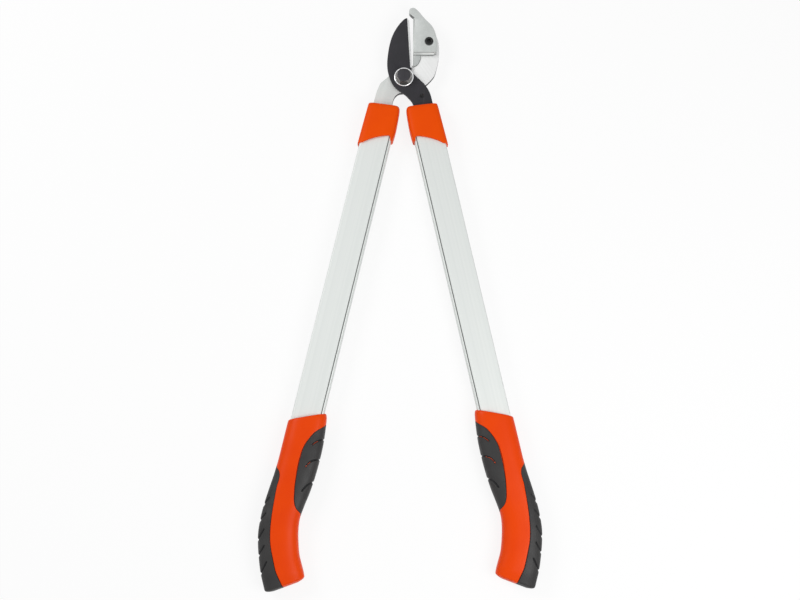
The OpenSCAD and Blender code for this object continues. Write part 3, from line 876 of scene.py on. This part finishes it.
# Outlines of the grip from its top down, in shares of its width and length, and its share of thickness.
GRIP_OUTER = np.array([
    [0.445, -0.004], [0.455, 0.012], [0.457, 0.077], [0.457, 0.154], [0.457, 0.236], [0.472, 0.323],
    [0.504, 0.41], [0.533, 0.503], [0.537, 0.59], [0.504, 0.682], [0.424, 0.759], [0.315, 0.836],
    [0.204, 0.903], [0.118, 0.944], [0.006, 0.995],
])
GRIP_INNER = np.array([
    [-0.445, -0.092], [-0.485, -0.064], [-0.524, 0.005], [-0.557, 0.092], [-0.565, 0.185], [-0.55, 0.287],
    [-0.513, 0.385], [-0.457, 0.472], [-0.426, 0.544], [-0.457, 0.61], [-0.528, 0.677], [-0.63, 0.749],
    [-0.761, 0.808], [-0.826, 0.836], [-0.872, 0.86],
])
GRIP_THICK = np.array([0.9, 0.94, 0.97, 1.0, 1.0, 1.0, 0.985, 0.97, 0.97, 0.98, 1.0, 1.0, 0.98, 0.94, 0.82])
# The dome at the end of the grip, from its skin to its middle.
GRIP_END_INSET = np.array([0.0, 0.15, 0.5, 1.2, 2.4, 5.0, 9.0])
GRIP_END_RISE = np.array([0.0, 0.7, 1.5, 2.3, 3.0, 3.9, 4.7])
# More sections next to the ends of a piece, in millimetres, and next to the ends of a seat, in stations.
END_STEPS = np.array([0.02, 0.08, 0.18, 0.35, 0.6])
SEAT_STEPS = np.array([0.01, 0.03, 0.06, 0.1, 0.16])
# The point of its groove at which a line begins, and the paths of the lines on a pad that has none.
LINE_STARTS = {Side.LEFT: 2, Side.RIGHT: 1}
FAR_OFF = [[(5000.0, 5000.0), (5001.0, 5000.0), (5002.0, 5000.0)]]


@dataclass(frozen=True, eq=False)
class PadPlan:
    """Plan of a soft pad: middle angle on the section, reach at the stations, end stations, columns, grooves.

    The first few grooves, as many as are lined, show the hard grip below as a line.
    """

    middle: float
    reach: Array
    ends: Pair
    columns: int
    grooves: Sequence[Sequence[Pair]]
    lined: int


class PadPlace(Enum):
    """Where a soft pad lies on its grip; the value is its plan."""

    INNER = PadPlan(
        middle=0.0, ends=(1.605, 7.8), columns=150, lined=2,
        reach=np.array([-0.2, -0.2, 0.2, 0.43, 0.48, 0.445, 0.36, 0.21, -0.08] + [-0.1] * 6),
        grooves=[
            [(-27.5, -441.6), (-24.0, -442.9), (-19.8, -445.2), (-16.8, -448.0), (-14.6, -450.8)],
            [(-28.5, -465.2), (-22.0, -467.3), (-17.0, -470.5), (-14.6, -473.8), (-12.9, -477.2)],
            [(-27.0, -491.8), (-22.6, -494.2), (-19.3, -498.0), (-17.4, -501.2), (-16.0, -504.4)],
            [(-26.6, -492.4), (-22.2, -494.8), (-18.9, -498.6), (-17.0, -501.8), (-15.6, -505.0)],
        ],
    )
    OUTER = PadPlan(
        middle=180.0, ends=(4.395, 15.0), columns=120, lined=0,
        reach=np.array([-0.1] * 5 + [0.15, 0.195, 0.255, 0.3, 0.325, 0.335, 0.37, 0.385, 0.41, 0.45]),
        grooves=[
            [(19.9, -521.2), (21.9, -525.2), (25.0, -531.6)],
            [(19.6, -539.4), (22.0, -544.4), (26.0, -552.0)],
            [(17.0, -557.4), (19.0, -564.0), (22.6, -574.5)],
            [(12.2, -575.4), (14.4, -582.8), (18.0, -593.5)],
            [(5.0, -592.2), (6.8, -600.0), (10.0, -611.5)],
        ],
    )


@dataclass
class Grip:
    """A curved grip: a hard core with a soft pad inside and one outside."""

    lever: Lever
    top: float = 430.0
    width: float = 46.0
    length: float = 195.0
    thick: float = 30.0
    power: float = 2.7
    top_edge: float = 1.3
    top_span: float = 1.5
    dome_rows: int = 19
    dome_straight: float = 1.25
    core_edge: float = 0.45
    core_step: float = 0.9
    core_columns: int = 26
    no_edge: float = 1e-3
    most_edge: float = 0.45
    seat: float = 2.0
    seat_columns: int = 16
    seam: float = 0.004
    least_reach: float = 0.02
    least_angle: float = 0.3
    end_ease: float = 9.0
    pad_edge: float = 0.7
    pad_gap: float = 1.2
    most_gap: float = 0.4
    pad_step: float = 0.36
    back_gap: float = 0.1
    back_columns: int = 9
    groove_width: float = 2.9
    groove_depth: float = 1.35
    stripe_width: float = 0.9
    stripe_shift: float = 0.4
    fine_top: int = 400
    fine_stations: int = 4000
    fine_reach: int = 6000
    fine_turns: int = 181

    @property
    def last(self) -> float:
        """Number of the last station."""
        return float(len(GRIP_OUTER) - 1)

    def frames(self, at: Array) -> tuple[Array, Array, Array, Array]:
        """Gives middle, direction inward, half width and half thickness of the sections.

        Args:
            at: station numbers; past the last one the end of the grip domes over.

        Returns:
            The four arrays.
        """
        held = np.minimum(at, self.last)
        size, top = (self.width, self.length), self.top + self.lever.drop
        middle, inward, wide = sections(GRIP_OUTER, GRIP_INNER, held, size, top)
        half = np.minimum(along(GRIP_THICK, held), 1.0) * self.thick / 2
        knots = np.linspace(0.0, 1.0, len(GRIP_END_INSET))
        sunk = np.interp(at - self.last, knots, GRIP_END_INSET)
        down = np.stack([inward[:, 1], -inward[:, 0]], -1)
        down *= np.where(down[:, 1] > 0, -1.0, 1.0)[:, None]
        middle = middle + down * np.interp(at - self.last, knots, GRIP_END_RISE)[:, None]
        return middle, inward, wide / 2 - sunk, half - sunk

    def points(self, at: Array, angle: Array, inset: Array) -> Array:
        """Gives points of the sections in lever millimetres.

        Args:
            at: station number of each section.
            angle: angles in degrees, a row for each section.
            inset: depth under the skin, of the same shape.

        Returns:
            The points, a row for each section.
        """
        middle, inward, wide, half = self.frames(at)
        turn = np.radians(angle)
        across = (wide[:, None] - inset) * powered(np.cos(turn), 2 / self.power)
        result = np.empty(angle.shape + (3,))
        result[..., :2] = middle[:, None, :] + inward[:, None, :] * across[..., None]
        result[..., 2] = (half[:, None] - inset) * powered(np.sin(turn), 2 / self.power)
        return result

    def distances(self, at: Array) -> Array:
        """Gives the way along the middle of the grip to each station."""
        return path_length(self.frames(at)[0])

    def stations(self, low: float, high: float, step: float) -> Array:
        """Spaces stations evenly along the grip, with a few more where an end is rounded.

        Args:
            low: first station.
            high: last station.
            step: distance between sections.

        Returns:
            The station numbers.
        """
        fine = np.linspace(low, high, self.fine_stations)
        way = self.distances(fine)
        total = way[-1]
        even = np.arange(0.0, total, step)
        places = np.unique(np.concatenate([even, END_STEPS, total - END_STEPS, [total]]))
        spots = np.interp(places, way, fine)
        if high > self.last:
            spots = np.concatenate([spots[spots < self.last], np.linspace(self.last, high, self.dome_rows)])
        return spots

    def reach(self, place: PadPlace, at: Array) -> Array:
        """Gives the angle that a pad takes to each side of its middle, rounded off at its ends."""
        plan = place.value
        share = np.maximum(along(plan.reach, np.minimum(at, self.last)), self.least_reach)
        angle = np.degrees(np.arccos(np.clip(powered(1 - 2 * share, self.power / 2), -1, 1)))
        fine = np.linspace(0.0, self.last + 1, self.fine_reach)
        way = self.distances(fine)
        spot, low, high = (np.interp(value, fine, way) for value in (at, *plan.ends))
        gap = np.minimum(spot - low, high - spot if plan.ends[1] < self.last else np.inf)
        ease = np.clip(gap / self.end_ease, 0.0, 1.0)
        return np.maximum(angle * np.sqrt(1 - (1 - ease) ** 2), self.least_angle)

    def spaced(self, at: float, span: Pair, count: int, edge: float) -> tuple[Array, Array]:
        """Spaces angles on one section by their way along the skin.

        Args:
            at: station number.
            span: first and last angle.
            count: number of evenly spaced angles.
            edge: radius of the rounded edges at both ends.

        Returns:
            The angles, and how far the rounded edges sink there.
        """
        fine = np.linspace(*span, self.fine_turns)
        way = path_length(self.points(np.array([at]), fine[None], np.zeros((1, self.fine_turns)))[0])
        total = way[-1]
        radius = min(edge, self.most_edge * total)
        bend = radius * BENDS
        places = np.concatenate([bend, np.linspace(radius, total - radius, count), total - bend[::-1]])
        return np.interp(places, way, fine), rounded_edge(np.minimum(places, total - places), radius)

    def closed_end(self, at: Array, rings: Array, columns: slice) -> Array:
        """Draws the seat of the outer pad straight across where the end of the grip domes over.

        Args:
            at: station number of each ring.
            rings: points of the rings, which are changed in place.
            columns: which points of a ring belong to the seat.

        Returns:
            The same rings.
        """
        share = np.clip((at - self.last) * self.dome_straight, 0.0, 1.0)[:, None, None]
        seat = rings[:, columns]
        way = np.linspace(0.0, 1.0, seat.shape[1])[None, :, None]
        straight = seat[:, :1] + (seat[:, -1:] - seat[:, :1]) * way
        rings[:, columns] = seat + (straight - seat) * share
        return rings

    def core_ring(self, at: float) -> tuple[Array, Array]:
        """Gives angles and depths of the hard core at one station, with seats for the pads."""
        near, far = (float(self.reach(place, np.array([at]))[0]) for place in PadPlace)
        has_near, has_far = (place.value.ends[0] <= at <= place.value.ends[1] for place in PadPlace)
        edge = self.core_edge if has_near or has_far else self.no_edge
        halves = (
            ((near, 180 - far), (180 - far, 180 + far), has_near, has_far),
            ((180 + far, 360 - near), (360 - near, 360 + near), has_far, has_near),
        )
        angles, depths = [], []
        for bare, seat, has_first, has_last in halves:
            turn, sunk = self.spaced(at, bare, self.core_columns, edge)
            half = len(turn) // 2
            sunk[:half] *= has_first
            sunk[half:] *= has_last
            angles += [turn, np.linspace(*seat, self.seat_columns)]
            depths += [sunk, np.full(self.seat_columns, self.seat * has_last)]
        return np.concatenate(angles), np.concatenate(depths)

    def build_core(self) -> Piece:
        """Builds the hard core.

        Returns:
            The core's object.
        """
        end = self.last + 1
        spots = [self.stations(0.0, end, self.core_step)]
        for place in PadPlace:
            low, high = place.value.ends
            spots += [[low - self.seam, low, high, high + self.seam], low + SEAT_STEPS]
            if high < self.last:
                spots.append(high - SEAT_STEPS)
        spots = np.unique(np.clip(np.concatenate(spots), 0.0, end))
        angle, depth = map(np.array, zip(*(self.core_ring(float(spot)) for spot in spots)))
        fine = np.linspace(0.0, self.top_span, self.fine_top)
        way = np.interp(spots, fine, self.distances(fine))
        depth += rounded_edge(way, self.top_edge)[:, None]
        half = angle.shape[1] // 2
        seat = slice(half - self.seat_columns, half)
        rings = self.closed_end(spots, self.points(spots, angle, depth), seat)
        return shell_mesh(self.lever.name("grip"), self.lever.place(rings))

    def build_pad(self, place: PadPlace) -> Piece:
        """Builds a soft pad with its grooves.

        Args:
            place: which of the two pads.

        Returns:
            The pad's object.
        """
        plan = place.value
        spots = self.stations(*plan.ends, self.pad_step)
        back = np.full(self.back_columns, self.seat - self.back_gap)
        angle, depth = [], []
        for spot, reach in zip(spots, self.reach(place, spots)):
            wide = reach - min(self.pad_gap, self.most_gap * reach)
            low, high = plan.middle - wide, plan.middle + wide
            turn, sunk = self.spaced(float(spot), (low, high), plan.columns, self.pad_edge)
            angle.append(np.concatenate([turn, np.linspace(high, low, self.back_columns)]))
            depth.append(np.concatenate([sunk, back]))
        rings = self.points(spots, np.array(angle), np.array(depth))
        if place is PadPlace.OUTER:
            rings = self.closed_end(spots, rings, slice(-self.back_columns, None))
        pad = shell_mesh(self.lever.name(f"{place.name.lower()}_pad"), self.lever.place(rings))
        return GrooveCutter(self).cut(pad, plan)


class GrooveCutter:
    """Presses grooves into a soft pad with a Geometry Nodes tree."""

    TREE = "pad_grooves"
    TAKES = {
        "Pad": "Geometry", "Groove Paths": "Object", "Line Paths": "Object", "Groove Width": "Float",
        "Groove Depth": "Float", "Line Width": "Float", "Rubber": "Material",
    }
    STEPS = 12

    def __init__(self, grip: Grip) -> None:
        """Keeps the grip whose pad is cut."""
        self.grip = grip

    def tree(self) -> bpy.types.NodeTree:
        """Gives the tree, which is built the first time."""
        if self.TREE in bpy.data.node_groups:
            return bpy.data.node_groups[self.TREE]
        graph, start, end = new_group(self.TREE, self.TAKES, {"Cut Pad": "Geometry"}, "GeometryNodeTree")
        taken = list(start.outputs)[:len(self.TAKES)]
        pad, groove_paths, line_paths, width, depth, line_width, rubber = taken
        spot = graph.flat(graph.split(graph.add("GeometryNodeInputPosition").outputs[0]))
        groove = self.nearness(graph, groove_paths, width, spot)
        line = self.nearness(graph, line_paths, line_width, spot)
        kept = self.stored(graph, self.stored(graph, pad, "groove", groove), "stripe", line)
        sunk = graph.math("MULTIPLY", graph.math("MULTIPLY", groove, depth), -1.0)
        push = graph.vector("SCALE", {0: graph.add("GeometryNodeInputNormal").outputs[0], "Scale": sunk})
        moved = graph.add("GeometryNodeSetPosition", {"Geometry": kept, "Offset": push}).outputs[0]
        real = graph.add("GeometryNodeRealizeInstances", {"Geometry": moved}).outputs[0]
        dressed = graph.add("GeometryNodeSetMaterial", {"Geometry": real, "Material": rubber}).outputs[0]
        graph.feed(end, {0: dressed})
        return graph.tree

    def nearness(self, graph: Graph, paths: Socket, width: Socket, spot: Socket) -> Socket:
        """Gives 1 on a path, falling to 0 at half the width beside it.

        Args:
            graph: the tree's graph.
            paths: the object whose edges are the paths, at height 0.
            width: full width of the band.
            spot: the place that is tested, at height 0.

        Returns:
            The value.
        """
        lines = graph.add("GeometryNodeObjectInfo", {"Object": paths}).outputs["Geometry"]
        near = graph.add("GeometryNodeProximity", {0: lines}, target_element="EDGES")
        names = ("Sample Position", "Source Position")
        graph.tree.links.new(spot, next(socket for socket in near.inputs if socket.name in names))
        half = graph.math("MULTIPLY", width, 0.5)
        sockets = {"Value": near.outputs["Distance"], "From Max": half, "To Min": 1.0, "To Max": 0.0}
        return graph.add("ShaderNodeMapRange", sockets, interpolation_type="SMOOTHSTEP").outputs["Result"]

    def stored(self, graph: Graph, geometry: Socket, name: str, value: Socket) -> Socket:
        """Keeps a value on the points of the pad under a name."""
        sockets = {"Geometry": geometry, "Name": name}
        node = graph.add("GeometryNodeStoreNamedAttribute", sockets, data_type="FLOAT", domain="POINT")
        slots = (socket for socket in node.inputs if socket.name == "Value" and socket.type == "VALUE")
        graph.tree.links.new(value, next(slots))
        return node.outputs[0]

    def paths(self, name: str, lines: Sequence[Sequence[Pair]]) -> Piece:
        """Makes an object whose edges are smooth paths in the middle plane.

        Args:
            name: name of the object.
            lines: points of each path in lever millimetres.

        Returns:
            The object.
        """
        spots, edges = [], []
        for line in lines:
            table = np.array(line, float)
            last = len(table) - 1
            smooth = along(table, np.linspace(0, last, self.STEPS * last + 1))
            placed = self.grip.lever.place(np.column_stack([smooth, np.zeros(len(smooth))]))
            placed[:, 2] = 0.0
            edges += [(len(spots) + k, len(spots) + k + 1) for k in range(len(placed) - 1)]
            spots += placed.tolist()
        return linked(name, new_mesh(name, spots, (), edges))

    def cut(self, pad: Piece, plan: PadPlan) -> Piece:
        """Cuts the grooves of one pad.

        Args:
            pad: the plain pad.
            plan: the pad's plan.

        Returns:
            The pad as a plain mesh object with its grooves.
        """
        grip = self.grip
        grooves = [[(u, y - grip.lever.drop) for u, y in line] for line in plan.grooves]
        first = LINE_STARTS[grip.lever.side]
        lines = [[(u, y - grip.stripe_shift) for u, y in line[first:]] for line in grooves[:plan.lined]]
        helpers = [self.paths("groove_paths", grooves), self.paths("line_paths", lines or FAR_OFF)]
        values = {
            "Groove Paths": helpers[0], "Line Paths": helpers[1],
            "Groove Width": grip.groove_width * MM, "Groove Depth": grip.groove_depth * MM,
            "Line Width": grip.stripe_width * MM, "Rubber": bpy.data.materials["pad_rubber"],
        }
        modifier = pad.modifiers.new("grooves", "NODES")
        modifier.node_group = self.tree()
        for socket in modifier.node_group.interface.items_tree:
            if socket.in_out == "INPUT" and socket.name in values:
                modifier[socket.identifier] = values[socket.name]
        pad = settled(pad)
        for helper in helpers:
            mesh = helper.data
            bpy.data.objects.remove(helper)
            bpy.data.meshes.remove(mesh)
        return pad


# Outlines of the collar from its top down, in shares of its width and length, its share of thickness, and
# the arch of its lower rim.
COLLAR_OUTER = np.array([[0.454, 0.05], [0.465, 0.088], [0.47, 0.183], [0.48, 0.467], [0.496, 0.93]])
COLLAR_INNER = np.array([[-0.4, -0.01], [-0.446, 0.02], [-0.474, 0.1], [-0.503, 0.467], [-0.49, 0.72]])
COLLAR_THICK = np.array([0.76, 0.885, 0.96, 0.985, 1.0])
COLLAR_ARCH = np.array([
    [-0.445, 0.76], [-0.415, 0.68], [-0.355, 0.643], [-0.17, 0.683], [0.024, 0.742],
    [0.22, 0.822], [0.366, 0.908], [0.428, 1.0],
])


@dataclass
class Collar:
    """A moulded collar over the top of a tube, with an arched lower rim between two side tongues."""

    lever: Lever
    top: float = 38.0
    length: float = 60.0
    width: float = 41.5
    thick: float = 24.4
    power: float = 5.0
    tube_width: float = 36.0
    tube_thick: float = 18.0
    tube_round: float = 1.8
    gap: float = 0.12
    rim_edge: float = 0.6
    top_edge: float = 0.7
    columns: int = 176
    columns_at: float = 2.0
    rows: int = 46
    row_power: float = 1.25
    sleeve: float = 11.0
    no_arch: float = 1e3
    fine_turns: int = 7201
    fine_rows: int = 500
    fine_arch: int = 141

    def points(self, at: Array, angle: Array, inset: Array) -> Array:
        """Gives skin points in lever millimetres.

        Args:
            at: station number of each point.
            angle: its angle on the section in degrees.
            inset: its depth under the skin.

        Returns:
            One point for each entry.
        """
        size = (self.width, self.length)
        middle, inward, wide = sections(COLLAR_OUTER, COLLAR_INNER, at, size, self.top)
        turn = np.radians(angle)
        across = (wide / 2 - inset) * powered(np.cos(turn), 2 / self.power)
        half = along(COLLAR_THICK, at) * self.thick / 2
        up = (half - inset) * powered(np.sin(turn), 2 / self.power)
        return np.column_stack([middle + inward * across[:, None], up])

    def column(self, at: Array, angle: float) -> Array:
        """Gives the skin points of one column."""
        return self.points(at, np.full(at.shape, angle), np.zeros(at.shape))

    def column_angles(self) -> Array:
        """Spaces the columns evenly round the section."""
        fine = np.linspace(0.0, 360.0, self.fine_turns)
        way = path_length(self.points(np.full(fine.shape, self.columns_at), fine, np.zeros(fine.shape)))
        return np.interp(np.linspace(0, way[-1], self.columns, endpoint=False), way, fine)

    def rim_station(self, angle: float) -> float:
        """Finds where a column meets the arched rim."""
        last = len(COLLAR_OUTER) - 1.0
        at = np.linspace(0.0, last, self.fine_rows)
        skin = self.column(at, angle)
        across, down = along(COLLAR_ARCH, np.linspace(0, len(COLLAR_ARCH) - 1, self.fine_arch)).T
        none = self.no_arch
        arch = np.interp(skin[:, 0], across * self.width, down * self.length, left=none, right=none)
        over = -skin[:, 1] - self.top - arch
        crossed = np.nonzero(over > 0)[0]
        if not len(crossed) or crossed[0] == 0:
            return last
        k = crossed[0]
        return float(at[k - 1] + (at[k] - at[k - 1]) * -over[k - 1] / (over[k] - over[k - 1]))

    def on_tube(self, point: Array) -> Array:
        """Moves a rim point straight in to the skin of the tube."""
        limit = np.array([self.tube_width, self.tube_thick]) / 2 - self.tube_round
        flat = point[[0, 2]]
        core = np.clip(flat, -limit, limit)
        away = flat - core
        inside = core + away / max(np.linalg.norm(away), TINY) * (self.tube_round + self.gap)
        return np.array([inside[0], point[1], inside[1]])

    def build(self) -> Piece:
        """Builds the collar.

        Returns:
            The collar's object.
        """
        share = np.linspace(0.0, 1.0, self.rows) ** self.row_power
        columns = []
        for angle in self.column_angles():
            even = self.rim_station(float(angle)) * share
            way = path_length(self.column(even, angle))
            bends = [self.top_edge * BENDS[1:], way[-1] - self.rim_edge * BENDS[1:]]
            at = np.sort(np.concatenate([even, np.interp(np.concatenate(bends), way, even)]))
            spot = np.interp(at, even, way)
            sunk = rounded_edge(spot, self.top_edge) + rounded_edge(way[-1] - spot, self.rim_edge)
            column = self.points(at, np.full(at.shape, angle), sunk)
            inner = self.on_tube(column[-1])
            columns.append(np.vstack([column, inner, inner + np.array([0.0, self.sleeve, 0.0])]))
        rings = np.array(columns).transpose(1, 0, 2)
        return shell_mesh(self.lever.name("shoulder_collar"), self.lever.place(rings))


# Section of the rolled line of a tube, in shares of its width and depth.
LINE_ACROSS = np.array([-0.5, -0.25, 0.0, 0.25, 0.5])
LINE_SINK = np.array([0.0, 0.6, 1.0, 0.6, 0.0])


@dataclass
class Tube:
    """A flat drawn tube with a rolled line along its inner edge, on both faces."""

    lever: Lever
    top: float = 52.0
    length: float = 425.0
    width: float = 36.0
    thick: float = 18.0
    wall: float = 1.6
    corner: float = 1.8
    corner_points: int = 10
    line_at: float = 2.6
    line_wide: float = 1.6
    line_deep: float = 0.8
    sharp: float = 30.0

    def section(self) -> Array:
        """Gives a row for each corner of the section: middle of its arc, direction outward, and sink."""
        wide, high = self.width / 2 - self.corner, self.thick / 2 - self.corner
        line = self.line_at - self.width / 2 + self.line_wide * LINE_ACROSS
        sink = self.line_deep * LINE_SINK
        rows = []
        for across, up, start in ((1, 1, 0.0), (-1, 1, 90.0), (-1, -1, 180.0), (1, -1, 270.0)):
            for turn in np.radians(np.linspace(start, start + 90.0, self.corner_points)):
                rows.append((across * wide, up * high, math.cos(turn), math.sin(turn), 0.0))
            if across == up:
                order = -1 if up > 0 else 1
                rows += [(u, up * high, 0.0, float(up), s) for u, s in zip(line[::order], sink)]
        return np.array(rows)

    def build(self) -> Piece:
        """Builds the tube, open at both ends.

        Returns:
            The tube's object, with an attribute named groove that is 1 in the rolled line.
        """
        rows = self.section()
        start = -self.top - self.lever.drop
        end = start - self.length
        outer = rows[:, :2] + rows[:, 2:4] * (self.corner - rows[:, 4])[:, None]
        inner = rows[:, :2] + rows[:, 2:4] * (self.corner - self.wall)
        loops = [(outer, start), (outer, end), (inner, end), (inner, start)]
        points = np.array([[(u, y, z) for u, z in flat] for flat, y in loops])
        count = len(rows)
        turns = [(k, (k + 1) % count) for k in range(count)]
        faces = []
        for ring in range(len(loops)):
            low, high = ring * count, (ring + 1) % len(loops) * count
            faces += [(low + k, low + after, high + after, high + k) for k, after in turns]
        name = self.lever.name("flat_tube")
        mesh = new_mesh(name, self.lever.place(points).reshape(-1, 3).tolist(), faces)
        marks = np.concatenate([rows[:, 4], rows[:, 4], np.zeros(2 * count)]) / self.line_deep
        store(mesh, "groove", "POINT", marks)
        return finished_object(name, mesh, self.sharp)


@dataclass
class LeverDress:
    """Dresses one lever: its tube, collar, grip and hidden pieces."""

    lever: Lever
    finishes: Finishes

    def build(self) -> None:
        """Builds and places the pieces of the lever."""
        name = self.lever.name
        for node, finish in (("tang_liner", "liner_plastic"), ("tang_pins", "plain_steel")):
            self.finishes.dress(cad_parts[name(node)], finish)
        grip = Grip(self.lever)
        pieces = [
            (Tube(self.lever).build(), "tube", "tube_aluminium", f"tube_{self.lever.side.name.lower()}"),
            (Collar(self.lever).build(), "collar", "orange_plastic", "collar_plastic"),
            (grip.build_core(), "grip_core", "orange_plastic", "grip_plastic"),
        ]
        for place in PadPlace:
            node = f"grip_{place.name.lower()}_pad"
            pieces.append((grip.build_pad(place), node, "pad_rubber", "pad_rubber"))
        for piece, node, slot, finish in pieces:
            self.finishes.hand_in(piece, name(node), self.lever.body, slot, finish)


# --------------------------------------------------------------------------- head


@dataclass
class Head:
    """The jaw and the pivot: plates and hardware with softened edges."""

    finishes: Finishes
    blade_edge: float = 0.22
    arm_edge: float = 0.45
    anvil_edge: float = 0.6
    hardware_edge: float = 0.25
    screw_edge: float = 0.35
    anvil_foot: float = 30.9
    anvil_levels: Pair = (14.6, 23.6)
    anvil_draft: float = 0.9
    anvil_step: Pair = (20.0, 20.5)
    step_reach: float = 2.8
    wall_reach: float = 9.0
    heel_draft: float = 0.6
    heel_middle: Pair = (11.1, 27.0)
    heel_taper: float = 1.5
    near: float = 0.2

    def draft(self, corner: Vector) -> None:
        """Slopes the lower wall of the anvil and the wall of its heel outward towards the foot.

        Args:
            corner: a corner of the anvil, which is moved in place.
        """
        low, high = self.anvil_levels
        across, ahead, up = (part / MM for part in corner)
        above = ahead - self.anvil_foot
        drop = self.anvil_draft * max(high - up, 0.0) / (high - low)
        if above < -self.near and up < low + self.near:
            away = Vector((across - self.heel_middle[0], ahead - self.heel_middle[1], 0.0)).normalized()
            corner += away * self.heel_draft * min(-above / self.heel_taper, 1.0) * MM
        if self.anvil_step[0] < corner.x / MM < self.anvil_step[1]:
            if -self.step_reach < above < self.near:
                corner.y -= drop * MM * (above + self.step_reach) / self.step_reach
        elif -self.near < above < self.wall_reach:
            corner.y -= drop * MM * (1 - max(above, 0.0) / self.wall_reach)

    def build(self) -> None:
        """Builds and places the pieces of the head."""
        soft = [
            ("cutting_blade", "blade_plate", self.blade_edge, "blade_coated", "blade_lever"),
            ("hook_arm", "hooked_arm", self.arm_edge, "arm_steel", "anvil_lever"),
            ("anvil", "anvil_block", self.anvil_edge, "anvil_alloy", "anvil_lever"),
            ("anvil_screw", "socket_screw", self.screw_edge, "black_screw", "anvil_lever"),
            ("pivot_bolt", "hexagon_bolt", self.hardware_edge, "pivot_dark", "anvil_lever"),
            ("pivot_nut", "locking_nut", self.hardware_edge, "plain_steel", "anvil_lever"),
            ("back_washer", "plain_washer", self.hardware_edge, "plain_steel", "anvil_lever"),
        ]
        for node, name, edge, slot, body in soft:
            shape = self.draft if node == "anvil" else None
            self.finishes.hand_in(SoftCopy(node, name, edge, shape).build(), node, body, slot)
        plain = [
            ("cup_washer", "washer_chrome"), ("friction_washer", "washer_brass"),
            ("nut_lock_ring", "liner_plastic"),
        ]
        for node, finish in plain:
            self.finishes.dress(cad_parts[node], finish)


# --------------------------------------------------------------------------- studio


@dataclass(frozen=True)
class Softbox:
    """A square lamp that looks at a point; its lengths are metres."""

    name: str
    place: Spot
    aim: Spot
    size: float
    power: float

    def build(self) -> None:
        """Builds the lamp."""
        data = bpy.data.lights.new(self.name, "AREA")
        data.shape = "SQUARE"
        data.size = self.size
        data.energy = self.power
        turn = (Vector(self.aim) - Vector(self.place)).to_track_quat("-Z", "Y")
        linked(self.name, data).matrix_world = Matrix.Translation(self.place) @ turn.to_matrix().to_4x4()


@dataclass
class Studio:
    """White floor, soft lamps and the camera of the photograph; its lengths are metres."""

    aim: Spot = (-0.00318, -0.27332, 0.015)
    distance: float = 1.5
    tilt: float = 9.0
    roll: float = 0.3154
    lens: float = 56.87
    sensor: float = 36.0
    clip: Pair = (0.05, 50.0)
    floor_half: float = 6.0
    floor_low: float = -0.0004
    floor_cloth: float = 0.97
    floor_white: float = 0.86
    sky: float = 0.4

    def build(self) -> None:
        """Builds the whole studio."""
        self.build_camera()
        self.build_floor()
        self.build_sky()
        Softbox("left_softbox", (-1.15, 0.35, 1.25), (0.0, -0.25, 0.0), size=0.7, power=11.0).build()
        Softbox("right_softbox", (0.57, -0.74, 0.96), (0.06, -0.36, 0.0), size=0.65, power=6.2).build()
        bpy.context.scene.view_settings.view_transform = "Standard"

    def build_camera(self) -> None:
        """Places the camera where the photograph was taken from."""
        data = bpy.data.cameras.new("photo_camera")
        data.lens = self.lens
        data.sensor_width = self.sensor
        data.clip_start, data.clip_end = self.clip
        turn, tilt = math.radians(self.roll), math.radians(self.tilt)
        right = Vector((math.cos(turn), math.sin(turn), 0.0))
        up = Vector((-math.sin(turn) * math.cos(tilt), math.cos(turn) * math.cos(tilt), math.sin(tilt)))
        back = right.cross(up)
        place = Vector(self.aim) + back * self.distance
        camera = linked("photo_camera", data)
        camera.matrix_world = Matrix.Translation(place) @ Matrix((right, up, back)).transposed().to_4x4()
        bpy.context.scene.camera = camera

    def build_floor(self) -> None:
        """Lays the pale floor, which shows white to the camera and keeps a soft shadow."""
        half, low = self.floor_half, self.floor_low
        corners = [(-half, -half, low), (half, -half, low), (half, half, low), (-half, half, low)]
        mesh = new_mesh("studio_floor", corners, [(0, 1, 2, 3)])
        material = bpy.data.materials.new("studio_white")
        graph = fresh(material)
        cloth = graph.add("ShaderNodeBsdfDiffuse", {"Color": (*[self.floor_cloth] * 3, 1.0)})
        white = graph.add("ShaderNodeEmission", {"Color": WHITE, "Strength": 1.0})
        share = graph.math("MULTIPLY", self.seen(graph), self.floor_white)
        mixed = graph.add("ShaderNodeMixShader", {0: share, 1: cloth.outputs[0], 2: white.outputs[0]})
        graph.add("ShaderNodeOutputMaterial", {"Surface": mixed.outputs[0]})
        mesh.materials.append(material)
        linked("studio_floor", mesh)

    def build_sky(self) -> None:
        """Lights the room evenly, and shows white where the camera sees past the floor."""
        world = bpy.data.worlds.new("studio_sky")
        bpy.context.scene.world = world
        graph = fresh(world)
        strength = graph.ramp(self.seen(graph), (0.0, 1.0), (self.sky, 1.0))
        sky = graph.add("ShaderNodeBackground", {"Color": WHITE, "Strength": strength})
        graph.add("ShaderNodeOutputWorld", {"Surface": sky.outputs[0]})

    def seen(self, graph: Graph) -> Socket:
        """Gives 1 for rays from the camera, from metal and from glass."""
        ray = graph.add("ShaderNodeLightPath")
        both = graph.math("MAXIMUM", ray.outputs["Is Camera Ray"], ray.outputs["Is Glossy Ray"])
        return graph.math("MAXIMUM", both, ray.outputs["Is Transmission Ray"])


def main() -> None:
    """Builds the studio, the head and both levers."""
    logging.basicConfig(level=logging.INFO, format="%(message)s")
    Studio().build()
    finishes = Finishes()
    Head(finishes).build()
    left = Lever(Side.LEFT, offset=14.9, drop=6.0, body="anvil_lever")
    right = Lever(Side.RIGHT, offset=13.1, drop=0.0, body="blade_lever")
    for lever in (left, right):
        LeverDress(lever, finishes).build()


if __name__ == "__main__":
    main()
